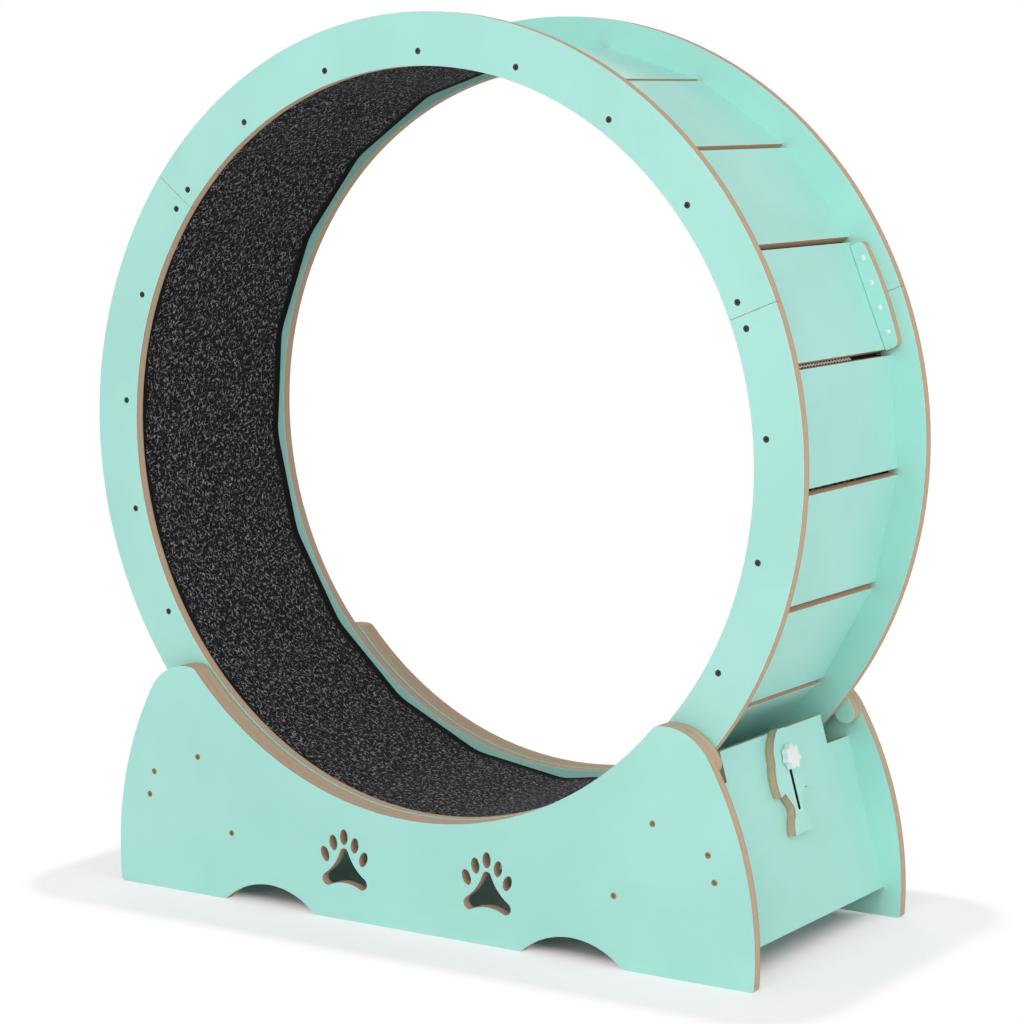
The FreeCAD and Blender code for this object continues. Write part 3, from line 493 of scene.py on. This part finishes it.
@dataclass(frozen=True)
class Paint(Finish):
    """Baked paint on a small fastener: even film, faint orange peel, thin dirt in patches."""

    name: str = "white_paint"
    film: Colour = ink(238, 240, 238)
    dirt: Colour = ink(205, 208, 204)

    def write(self, shader: Shader) -> None:
        """Writes the paint's nodes."""
        place = shader.place()
        peel = shader.noise(place, 0.0012, 2.0)
        grime = shader.noise(place, 0.005, 4.0, 0.6).rise(0.52, 0.7)
        self.surface(shader, {
            "Base Color": shader.blend(grime * 0.5, self.film, self.dirt),
            "Roughness": 0.26 + 0.2 * grime,
            "Coat Weight": 0.3,
            "Coat Roughness": 0.12,
            "Normal": shader.bump(peel, 0.00004, 0.5),
        })


@dataclass(frozen=True)
class Plastic(Finish):
    """Moulded plastic: even colour, faint flow marks, fine mould texture and light scratches in its gloss."""

    name: str = "plastic"
    body: Colour = ink(240, 241, 240)
    flow: Colour = ink(230, 232, 231)
    gloss: float = 0.16
    texture: float = 0.00002
    coat: float = 0.0

    def write(self, shader: Shader) -> None:
        """Writes the plastic's nodes."""
        place = shader.place()
        flow = shader.noise(place, 0.012, 3.0, 0.55)
        texture = shader.noise(place, 0.0007, 2.0)
        streaks = shader.stretched(place, (1.0, 0.08, 1.0), 0.7)
        scratches = shader.noise(streaks, 0.0016, 3.0, 0.6).rise(0.62, 0.7)
        self.surface(shader, {
            "Base Color": shader.blend(flow.rise(0.4, 0.62), self.body, self.flow),
            "Roughness": self.gloss + 0.06 * texture + 0.12 * scratches,
            "Coat Weight": self.coat,
            "Normal": shader.bump(texture, self.texture, 0.5),
        })


MINT_FACE = MintLaminate()
RAW_EDGE = RawBoardEdge()
# Painted shade for the walls of the lock plate's slot.
SLOT_WALL_SHADE = SlotWallShade()
ARRIS = BoardArris()
FELT = HeatherFelt()
BORDER = BlackBorder()
THREAD = Thread()
BLACK_OXIDE = Metal("black_oxide", ink(88, 82, 74), ink(62, 58, 53), ink(172, 164, 150), 0.34, 1.0, 0.5)
YELLOW_ZINC = Metal("yellow_zinc", ink(168, 146, 98), ink(138, 118, 76), ink(206, 184, 134), 0.32, 1.0, 0.4)
BRIGHT_ZINC = Metal("bright_zinc", ink(188, 190, 194), ink(170, 173, 178), ink(214, 215, 218), 0.3)
BEARING_STEEL = Metal("bearing_steel", ink(198, 198, 200), ink(186, 186, 189), ink(220, 220, 222), 0.18)
WHITE_PAINT = Paint()
KNOB_PLASTIC = Plastic("knob_plastic", ink(243, 244, 243), ink(236, 238, 238), 0.14, 0.000015, 0.5)
NYLON = Plastic("roller_nylon", ink(222, 221, 214), ink(212, 211, 203), 0.4, 0.00006)


# ---------------------------------------------------------------- mesh work

def link_piece(name: str, work: bmesh.types.BMesh, finishes: Sequence[Finish]) -> bpy.types.Object:
    """Makes a piece from finished mesh work.

    Args:
        name: the piece's name.
        work: its mesh work, which is freed.
        finishes: its finishes, in the order of its zones.

    Returns:
        The piece, at the origin.
    """
    mesh = bpy.data.meshes.new(name)
    work.to_mesh(mesh)
    work.free()
    for finish in finishes:
        mesh.materials.append(finish.material())
    piece = bpy.data.objects.new(name, mesh)
    bpy.context.scene.collection.objects.link(piece)
    return piece


def finish_piece(piece: bpy.types.Object, body: Body,
                 nodes: Sequence[str] = ()) -> bpy.types.Object:
    """Lets a piece ride and what it stands for, and reports it.

    Args:
        piece: the piece.
        body: the body that it rides on.
        nodes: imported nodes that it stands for.

    Returns:
        The piece.
    """
    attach(piece, body.value)
    if nodes:
        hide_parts(*nodes)
    log.info("%s: %d faces, rides on %s", piece.name, len(piece.data.polygons), body.value)
    return piece


def copied_node(node: str) -> bmesh.types.BMesh:
    """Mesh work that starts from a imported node, its loose triangles merged into whole faces."""
    work = bmesh.new()
    work.from_mesh(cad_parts[node].data)
    bmesh.ops.remove_doubles(work, verts=work.verts, dist=0.000004)
    bmesh.ops.dissolve_limit(work, angle_limit=math.radians(0.12), verts=work.verts, edges=work.edges)
    bmesh.ops.recalc_face_normals(work, faces=work.faces)
    return work


def plain_attributes(mesh: bpy.types.Mesh) -> None:
    """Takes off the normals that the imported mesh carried, which no longer fit."""
    if "custom_normal" in mesh.attributes:
        mesh.attributes.remove(mesh.attributes["custom_normal"])


def mark_sharp(work: bmesh.types.BMesh, angle: float) -> None:
    """Smooth faces, with sharp edges where they turn by more than an angle."""
    for face in work.faces:
        face.smooth = True
    for edge in work.edges:
        edge.smooth = len(edge.link_faces) == 2 and edge.calc_face_angle(0.0) < angle


@dataclass(frozen=True)
class BoardWork:
    """Turns a packed board into a laminated one: faces, sawn edges and a fine broken arris."""

    arris: float = 0.00035
    least: float = 0.0009
    sharp: float = math.radians(32)
    face_share: float = 0.96

    def dress(self, node: str, body: Body) -> bpy.types.Object:
        """Makes the board's piece.

        Args:
            node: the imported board.
            body: the body that it rides on.

        Returns:
            The piece, which stands for the node.
        """
        work = copied_node(node)
        across = self._across(work)
        spans = [vert.co.dot(across) for vert in work.verts]
        middle, half = (max(spans) + min(spans)) / 2, (max(spans) - min(spans)) / 2
        corners = [edge for edge in work.edges
                   if len(edge.link_faces) == 2 and edge.calc_face_angle(0.0) > self.sharp
                   and edge.calc_length() > self.least
                   and any(abs(face.normal.dot(across)) > self.face_share for face in edge.link_faces)]
        broken = bmesh.ops.bevel(work, geom=corners, offset=self.arris, offset_type="OFFSET", segments=1,
                                 profile=0.5, affect="EDGES", material=-1, clamp_overlap=True)
        rims = set(broken["faces"])
        depth = work.verts.layers.float.new("across")
        for vert in work.verts:
            vert[depth] = (vert.co.dot(across) - middle) / half
        for face in work.faces:
            if face in rims:
                face.material_index = BoardZone.ARRIS.value
            elif abs(face.normal.dot(across)) > self.face_share:
                face.material_index = BoardZone.FACE.value
            else:
                face.material_index = BoardZone.EDGE.value
        mark_sharp(work, self.sharp)
        for face in work.faces:
            face.smooth = face.material_index != BoardZone.FACE.value
        piece = link_piece(node + "_board", work, (MINT_FACE, RAW_EDGE, ARRIS))
        plain_attributes(piece.data)
        return finish_piece(piece, body, (node,))

    @staticmethod
    def _across(work: bmesh.types.BMesh) -> Vector:
        """The direction through the board: the normal that the most area shares."""
        areas: Dict[Tuple[float, float, float], float] = {}
        for face in work.faces:
            key = tuple(round(value, 2) for value in face.normal)
            areas[key] = areas.get(key, 0.0) + face.calc_area()
        best = max(areas, key=lambda key: areas[key])
        largest = max((face for face in work.faces if face.normal.dot(Vector(best)) > 0.99),
                      key=lambda face: face.calc_area())
        return largest.normal.copy()


BOARDS = BoardWork()


def dress_node(node: str, finish: Finish) -> None:
    """Gives a carried-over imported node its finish.

    Args:
        node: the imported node.
        finish: its finish.
    """
    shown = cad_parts[node]
    for place in shown.material_slots:
        place.material = finish.material()
    if not shown.material_slots:
        shown.data.materials.append(finish.material())
    log.info("%s: carried over, %s", node, finish.name)


# ---------------------------------------------------------------- wheel

@dataclass
class RunningMat:
    """Felt mat on the planks: a strip cut flat, bound in black, laid round inside and sewn into a ring."""

    axle: Vector = field(default_factory=lambda: Vector((0.0, 0.0, 0.6075)))
    planks: int = 21
    first_flat: float = math.radians(150 / 7)
    outer_apothem: float = 0.4765
    thickness: float = 0.0045
    width: float = 0.3
    front_border: float = 0.017
    rear_border: float = 0.013
    joint_shift: float = 0.0032
    joint_gap: float = 0.0006
    rounding: float = math.radians(1.5)
    steps_per_plank: int = 16
    steps_across: int = 34
    unevenness: float = 0.0003
    rim: float = 0.0011

    @property
    def half_step(self) -> float:
        """Half the turn from one plank to the next."""
        return math.pi / self.planks

    @property
    def length(self) -> float:
        """Length of the strip, along its middle layer."""
        apothem = self.outer_apothem - self.thickness / 2
        return self.planks * 2 * apothem * math.tan(self.half_step) - self.joint_gap

    @property
    def border_lines(self) -> Tuple[float, float]:
        """Where the felt meets its front and its rear edging, across the strip."""
        return self.front_border - self.width / 2, self.width / 2 - self.rear_border

    @property
    def joint_turn(self) -> float:
        """Turn of the joint round the axle, from +X."""
        return self.first_flat - self.half_step + self.joint_shift / self.outer_apothem

    def reach(self, turn: float, height: float) -> float:
        """Distance from the axle at a turn, on the planks' flats with rounded corners between them.

        Args:
            turn: turn from +X, in radians.
            height: height above the planks.

        Returns:
            The distance, in metres.
        """
        off = abs((turn - self.first_flat + self.half_step) % (2 * self.half_step) - self.half_step)
        start = self.half_step - self.rounding
        if off <= start:
            share = 1 / math.cos(off)
        else:
            slope = math.tan(start) / math.cos(start)
            past = off - start
            share = 1 / math.cos(start) + slope * past - slope * past * past / (2 * self.rounding)
        return (self.outer_apothem - height) * share

    def lay(self, along: float, across: float, height: float) -> Vector:
        """Where a point of the flat strip comes to lie.

        Args:
            along: distance from the joint along the strip.
            across: distance from its middle line.
            height: height above the planks.

        Returns:
            The place in the frame.
        """
        gap = self.joint_gap / self.outer_apothem / 2
        turn = self.joint_turn + gap + along / self.length * (2 * math.pi - 2 * gap)
        reach = self.reach(turn, height)
        return self.axle + Vector((reach * math.cos(turn), across, reach * math.sin(turn)))

    def build(self, planks: Sequence[bpy.types.Object],
              joint: Sequence[bpy.types.Object]) -> bpy.types.Object:
        """Makes the mat.

        Args:
            planks: pieces that it lies on; not used.
            joint: pieces sewn on to it; not used.

        Returns:
            The mat's piece.
        """
        work = bmesh.new()
        bmesh.ops.create_grid(work, x_segments=self.planks * self.steps_per_plank,
                              y_segments=self.steps_across, size=0.5)
        bmesh.ops.transform(work, verts=work.verts,
                            matrix=Matrix.Diagonal((self.length, self.width, 1.0, 1.0)))
        bmesh.ops.translate(work, verts=work.verts, vec=(self.length / 2, 0.0, self.thickness))
        for line in self.border_lines:
            bmesh.ops.bisect_plane(work, geom=[*work.verts, *work.edges, *work.faces],
                                   plane_co=(0.0, line, 0.0), plane_no=(0.0, 1.0, 0.0))
        under = bmesh.ops.extrude_face_region(work, geom=list(work.faces))
        below = [item for item in under["geom"] if isinstance(item, bmesh.types.BMVert)]
        bmesh.ops.translate(work, verts=below, vec=(0.0, 0.0, -self.thickness))
        bmesh.ops.recalc_face_normals(work, faces=work.faces)
        rims = [edge for edge in work.edges if len(edge.link_faces) == 2 and edge.calc_face_angle(0.0) > 1.2]
        bmesh.ops.bevel(work, geom=rims, offset=self.rim, offset_type="OFFSET", segments=2, profile=0.5,
                        affect="EDGES", material=-1, clamp_overlap=True)
        self._zones(work)
        self._roll(work)
        for face in work.faces:
            face.smooth = True
        bmesh.ops.recalc_face_normals(work, faces=work.faces)
        mat = link_piece("running_mat_felt", work, (FELT, BORDER))
        finish_piece(mat, Body.WHEEL, ("running_mat",))
        return mat

    def _zones(self, work: bmesh.types.BMesh) -> None:
        """Sets zones and the cloth's map while the strip is flat."""
        cloth = work.loops.layers.uv.new("cloth")
        front, rear = self.border_lines
        for face in work.faces:
            is_border = not front < face.calc_center_median().y < rear
            face.material_index = (MatZone.BORDER if is_border else MatZone.FELT).value
            for loop in face.loops:
                loop[cloth].uv = (loop.vert.co.x, loop.vert.co.y)

    def _roll(self, work: bmesh.types.BMesh) -> None:
        """Lays the flat strip round inside the planks, a little uneven on its upper side."""
        for vert in work.verts:
            along, across, height = vert.co
            share = height / self.thickness
            swell = noise.noise(Vector((along * 9, across * 11, 0.3))) * self.unevenness
            beside = min(abs(across - line) for line in self.border_lines)
            seam = math.exp(-(beside / 0.0012) ** 2) * 0.0006
            vert.co = self.lay(along, across, height - share * (self.unevenness + seam - swell))


@dataclass
class MatJoint:
    """Zig-zag stitches over the mat's joint, on both its sides, and a black strip over their rear end."""

    mat: RunningMat
    swing: float = 0.0012
    pitch: float = 0.0037
    thread: float = 0.001
    front_end: float = -0.136
    rear_end: float = 0.071
    # A black strip in the edging's finish lies over the outside row's rear end.
    strip_width: float = 0.0042
    strip_thickness: float = 0.0008
    outside_lift: float = 0.0018

    def _place(self, off: float, across: float, height: float) -> Vector:
        """A place beside the joint.

        Args:
            off: distance from the joint, round the wheel.
            across: distance from the wheel's middle.
            height: height above the planks.

        Returns:
            The place in the frame.
        """
        turn = self.mat.joint_turn + off / self.mat.outer_apothem
        reach = self.mat.reach(turn, height)
        return self.mat.axle + Vector((reach * math.cos(turn), across, reach * math.sin(turn)))

    def stitches(self, name: str, height: float, rear_end: float) -> bpy.types.Object:
        """One row of zig-zag stitches.

        Args:
            name: the piece's name.
            height: height of the thread above the planks.
            rear_end: where the row ends.

        Returns:
            The row's piece.
        """
        count = int((rear_end - self.front_end) / self.pitch)
        curve = bpy.data.curves.new(name, "CURVE")
        curve.dimensions = "3D"
        curve.bevel_depth = self.thread
        curve.bevel_resolution = 1
        curve.resolution_u = 3
        curve.use_fill_caps = True
        line = curve.splines.new("NURBS")
        places: List[Vector] = []
        for index in range(count):
            side = 1 if index % 2 else -1
            across = self.front_end + index * self.pitch
            places.append(self._place(side * self.swing, across - self.pitch * 0.12, height))
            places.append(self._place(side * self.swing, across + self.pitch * 0.12, height))
        line.points.add(len(places) - 1)
        for point, place in zip(line.points, places):
            point.co = (*place, 1.0)
        line.order_u = 3
        line.use_endpoint_u = True
        holder = bpy.data.objects.new(name + "_line", curve)
        bpy.context.scene.collection.objects.link(holder)
        mesh = bpy.data.meshes.new_from_object(holder.evaluated_get(bpy.context.evaluated_depsgraph_get()))
        bpy.data.objects.remove(holder)
        mesh.name = name
        mesh.materials.clear()
        mesh.materials.append(THREAD.material())
        for polygon in mesh.polygons:
            polygon.use_smooth = True
        piece = bpy.data.objects.new(name, mesh)
        bpy.context.scene.collection.objects.link(piece)
        return finish_piece(piece, Body.WHEEL)

    def black_strip(self) -> bpy.types.Object:
        """A black strip over the rear end of the outside row, between two planks.

        Returns:
            The strip's piece.
        """
        work = bmesh.new()
        bmesh.ops.create_grid(work, x_segments=2, y_segments=24, size=0.5)
        upper = bmesh.ops.extrude_face_region(work, geom=list(work.faces))
        raised = {item for item in upper["geom"] if isinstance(item, bmesh.types.BMVert)}
        cloth = work.loops.layers.uv.new("cloth")
        length = -self.front_end - self.rear_end
        for face in work.faces:
            for loop in face.loops:
                loop[cloth].uv = (loop.vert.co.y * length, loop.vert.co.x * self.strip_width)
        for vert in work.verts:
            across = self.rear_end + (vert.co.y + 0.5) * length
            height = -self.strip_thickness if vert in raised else 0.0
            vert.co = self._place(vert.co.x * self.strip_width, across, height)
        bmesh.ops.recalc_face_normals(work, faces=work.faces)
        piece = link_piece("joint_black_strip", work, (BORDER,))
        return finish_piece(piece, Body.WHEEL)

    def build(self) -> List[bpy.types.Object]:
        """Makes both rows of stitches and the black strip.

        Returns:
            The pieces that go with the mat.
        """
        inner_height = self.mat.thickness + self.thread * 0.2
        return [self.stitches("joint_stitches_outside", -self.outside_lift, self.rear_end),
                self.stitches("joint_stitches_inside", inner_height, -self.front_end), self.black_strip()]


@dataclass
class Wheel:
    """The turning wheel: two rings in three segments each, splice plates, planks, mat and screws."""

    segments: int = 3
    planks: int = 21
    mat: RunningMat = field(default_factory=RunningMat)

    def build(self) -> None:
        """Makes and dresses the wheel's pieces."""
        for side in ("front", "rear"):
            for index in range(1, self.segments + 1):
                BOARDS.dress("%s_ring_segment_%d" % (side, index), Body.WHEEL)
            BOARDS.dress(side + "_splice_plates", Body.WHEEL)
        planks = [BOARDS.dress("tread_plank_%02d" % (index + 1), Body.WHEEL) for index in range(self.planks)]
        joint = MatJoint(self.mat).build()
        self.mat.build(planks, joint)
        dress_node("ring_screws", BLACK_OXIDE)
        dress_node("splice_screws", WHITE_PAINT)


# ---------------------------------------------------------------- base

@dataclass
class Base:
    """The standing base: side panels with their doublers, end panels, roller boards and screws."""

    boards: Tuple[str, ...] = (
        "front_side_panel", "rear_side_panel", "front_edge_doubler", "rear_edge_doubler",
        "left_end_panel", "right_end_panel", "left_roller_board", "right_roller_board")

    def build(self) -> None:
        """Makes and dresses the base's pieces."""
        for node in self.boards:
            BOARDS.dress(node, Body.BASE)
        dress_node("base_screws", YELLOW_ZINC)


@dataclass
class Rollers:
    """Four grooved rollers on forks, with their bearings, axles and screws."""

    corners: Tuple[str, ...] = ("front_left", "front_right", "rear_left", "rear_right")

    def build(self) -> None:
        """Dresses the rollers and what carries them."""
        for corner in self.corners:
            dress_node(corner + "_roller", NYLON)
            dress_node(corner + "_roller_fork", BRIGHT_ZINC)
        for node in ("axle_bolts", "axle_nuts", "axle_spacers", "fork_screws"):
            dress_node(node, BRIGHT_ZINC)
        dress_node("roller_bearings", BEARING_STEEL)


@dataclass
class WheelLock:
    """The wheel lock on the right end panel: fish-shaped plate, star knob, stud, washer and tee nut."""

    crown_steps: Tuple[Tuple[float, float], ...] = (
        (0.9, 0.0005), (0.84, 0.0005), (0.75, 0.0004), (0.6, 0.0002))
    hub_step: Tuple[float, float] = (0.86, -0.0006)
    edge_angle: float = math.radians(35)
    slot_center_y: float = 0.0025
    slot_half_width: float = 0.0031
    slot_end_margin: float = 0.02

    def knob(self) -> bpy.types.Object:
        """The star knob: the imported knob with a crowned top.

        Returns:
            The knob's piece.
        """
        work = copied_node("lock_knob")
        top = max(work.faces, key=lambda face: face.calc_area() * (1.0 if face.normal.x > 0.5 else 0.0))
        out, centre = top.normal.copy(), top.calc_center_bounds()
        for share, rise in (*self.crown_steps, self.hub_step):
            made = bmesh.ops.extrude_face_region(work, geom=[top])["geom"]
            top = next(item for item in made if isinstance(item, bmesh.types.BMFace))
            bmesh.ops.scale(work, verts=top.verts, vec=(share, share, share),
                            space=Matrix.Translation(-centre))
            bmesh.ops.translate(work, verts=top.verts, vec=out * rise)
            centre = centre + out * rise
        mark_sharp(work, self.edge_angle)
        piece = link_piece("lock_star_knob", work, (KNOB_PLASTIC,))
        plain_attributes(piece.data)
        return finish_piece(piece, Body.LOCK_KNOB, ("lock_knob",))

    def shade_slot_walls(self, plate: bpy.types.Object) -> None:
        """Gives the walls of the lock plate's slot a dark finish: painted shade for the shadow inside the
        slot.
        """
        plate.data.materials.append(SLOT_WALL_SHADE.material())
        heights = [vert.co.z for vert in plate.data.vertices]
        low, high = min(heights) + self.slot_end_margin, max(heights) - self.slot_end_margin
        for polygon in plate.data.polygons:
            beside = abs(polygon.center.y - self.slot_center_y)
            is_wall = low < polygon.center.z < high and beside < self.slot_half_width
            # Edge faces inside the slot take the painted shade.
            if is_wall and polygon.material_index == BoardZone.EDGE.value:
                polygon.material_index = len(plate.data.materials) - 1

    def build(self) -> None:
        """Makes and dresses the lock's pieces."""
        self.shade_slot_walls(BOARDS.dress("lock_plate", Body.LOCK_PLATE))
        self.knob()
        for node in ("lock_stud", "lock_washer", "lock_tee_nut"):
            dress_node(node, BRIGHT_ZINC)


# ---------------------------------------------------------------- studio and camera

@dataclass
class Studio:
    """Plain pale floor and soft light, at a level at which colours come out as written."""

    sky: float = 0.5
    floor_half: float = 9.0
    base_half: Tuple[float, float] = (0.49, 0.2)
    shade: Tuple[float, float] = (0.0009, 0.018)
    floor_glow: float = 0.5
    end_rise: Tuple[float, float] = (0.41, 0.47)
    side_rise: Tuple[float, float] = (0.15, 0.2)

    def world(self) -> None:
        """Soft white all round, which the camera and reflections see as plain white."""
        world = bpy.data.worlds.new("studio")
        world.use_nodes = True
        bpy.context.scene.world = world
        shader = Shader(world.node_tree)
        world.node_tree.nodes.clear()
        seen = self._seen(shader)
        lit = shader.node("ShaderNodeBackground", {}, {"Color": (1.0, 1.0, 1.0, 1.0), "Strength": self.sky})
        plain = shader.node("ShaderNodeBackground", {}, {"Color": (1.0, 1.0, 1.0, 1.0), "Strength": 1.0})
        mixed = shader.node("ShaderNodeMixShader", {}, {0: seen, 1: lit, 2: plain})
        self._out(shader, mixed)

    @staticmethod
    def _out(shader: Shader, surface: Wire) -> None:
        """Links the world's output."""
        out = shader.tree.nodes.new("ShaderNodeOutputWorld")
        shader.tree.links.new(surface.socket, out.inputs["Surface"])

    @staticmethod
    def _seen(shader: Shader) -> Wire:
        """1 where a ray comes from the camera, a reflection or through glass."""
        path = shader.tree.nodes.new("ShaderNodeLightPath")
        camera, glossy, through = (Wire(shader, path.outputs[name]) for name in
                                   ("Is Camera Ray", "Is Glossy Ray", "Is Transmission Ray"))
        return camera.larger(glossy).larger(through)

    def floor(self) -> None:
        """A pale floor: to the camera plain white further off, half so beside the base, shaded under it."""
        work = bmesh.new()
        bmesh.ops.create_grid(work, x_segments=6, y_segments=6, size=self.floor_half)
        mesh = bpy.data.meshes.new("studio_floor")
        work.to_mesh(mesh)
        work.free()
        piece = bpy.data.objects.new("studio_floor", mesh)
        bpy.context.scene.collection.objects.link(piece)
        material = bpy.data.materials.new("studio_floor")
        material.use_nodes = True
        shader = Shader(material.node_tree)
        place = shader.place()
        off = [abs(shader.node("ShaderNodeSeparateXYZ", {}, {0: place}, axis)) for axis in "XY"]
        past = [(distance - half).larger(0.0) for distance, half in zip(off, self.base_half)]
        away = (past[0] * past[0] + past[1] * past[1]).rise(*self.shade)
        outside = off[0].rise(*self.end_rise).larger(off[1].rise(*self.side_rise))
        mottle = shader.noise(place, 0.4, 2.0)
        Finish.surface(shader, {
            "Base Color": shader.blend(mottle, ink(250, 250, 250), ink(253, 253, 253)),
            "Roughness": 0.9,
            "Specular IOR Level": 0.1,
        })
        plain = shader.node("ShaderNodeEmission", {}, {"Color": (1.0, 1.0, 1.0, 1.0), "Strength": 1.0})
        principled = Wire(shader, shader.tree.nodes["Principled BSDF"].outputs[0])
        mixed = shader.node("ShaderNodeMixShader", {}, {
            0: away.larger(outside * self.floor_glow) * self._seen(shader), 1: principled, 2: plain})
        shader.tree.links.new(mixed.socket, shader.tree.nodes["Material Output"].inputs["Surface"])
        mesh.materials.append(material)

    @staticmethod
    def lamp(name: str, place: Vector, target: Vector, size: float, power: float) -> None:
        """A large soft lamp.

        Args:
            name: the lamp's name.
            place: where it stands.
            target: what it faces.
            size: side of its square, in metres.
            power: its power, in watts.
        """
        light = bpy.data.lights.new(name, "AREA")
        light.size = size
        light.energy = power
        lamp = bpy.data.objects.new(name, light)
        lamp.location = place
        lamp.rotation_euler = (target - place).to_track_quat("-Z", "Y").to_euler()
        bpy.context.scene.collection.objects.link(lamp)

    def build(self) -> None:
        """Sets world, floor and lamps."""
        self.world()
        self.floor()
        middle = Vector((0.0, 0.0, 0.55))
        self.lamp("key", Vector((1.2, -5.2, 3.0)), middle, 3.2, 108.0)
        self.lamp("side", Vector((5.0, -1.4, 2.4)), middle, 3.0, 72.0)
        self.lamp("fill", Vector((-3.8, 4.4, 2.8)), middle, 3.4, 75.0)
        log.info("studio: world, floor and lamps")


@dataclass
class PhotoCamera:
    """The camera at the photograph's place, found from the wheel's rings and the base's corners."""

    place: Vector = field(default_factory=lambda: Vector((2.1056, -3.0942, 1.0201)))
    yaw: float = math.radians(33.969)
    pitch: float = math.radians(-7.797)
    roll: float = math.radians(-0.571)
    lens: float = 103.6
    sensor: float = 36.0

    def build(self) -> None:
        """Makes the camera and gives it to the scene."""
        ahead = Vector((-math.sin(self.yaw) * math.cos(self.pitch), math.cos(self.yaw) * math.cos(self.pitch),
                        math.sin(self.pitch)))
        level = Vector((math.cos(self.yaw), math.sin(self.yaw), 0.0))
        over = level.cross(ahead)
        right = math.cos(self.roll) * level + math.sin(self.roll) * over
        up = -math.sin(self.roll) * level + math.cos(self.roll) * over
        camera = bpy.data.cameras.new("photo_camera")
        camera.lens = self.lens
        camera.sensor_width = self.sensor
        holder = bpy.data.objects.new("photo_camera", camera)
        turn = Matrix((right, up, -ahead)).transposed().to_4x4()
        holder.matrix_world = Matrix.Translation(self.place) @ turn
        bpy.context.scene.collection.objects.link(holder)
        bpy.context.scene.camera = holder
        log.info("camera: %.1f mm at %s", self.lens, tuple(round(value, 3) for value in self.place))


def main() -> None:
    """Builds the pieces in order."""
    bpy.context.scene.view_settings.view_transform = "Standard"
    PhotoCamera().build()
    Wheel().build()
    Base().build()
    Rollers().build()
    WheelLock().build()
    Studio().build()


if __name__ == "__main__":
    main()
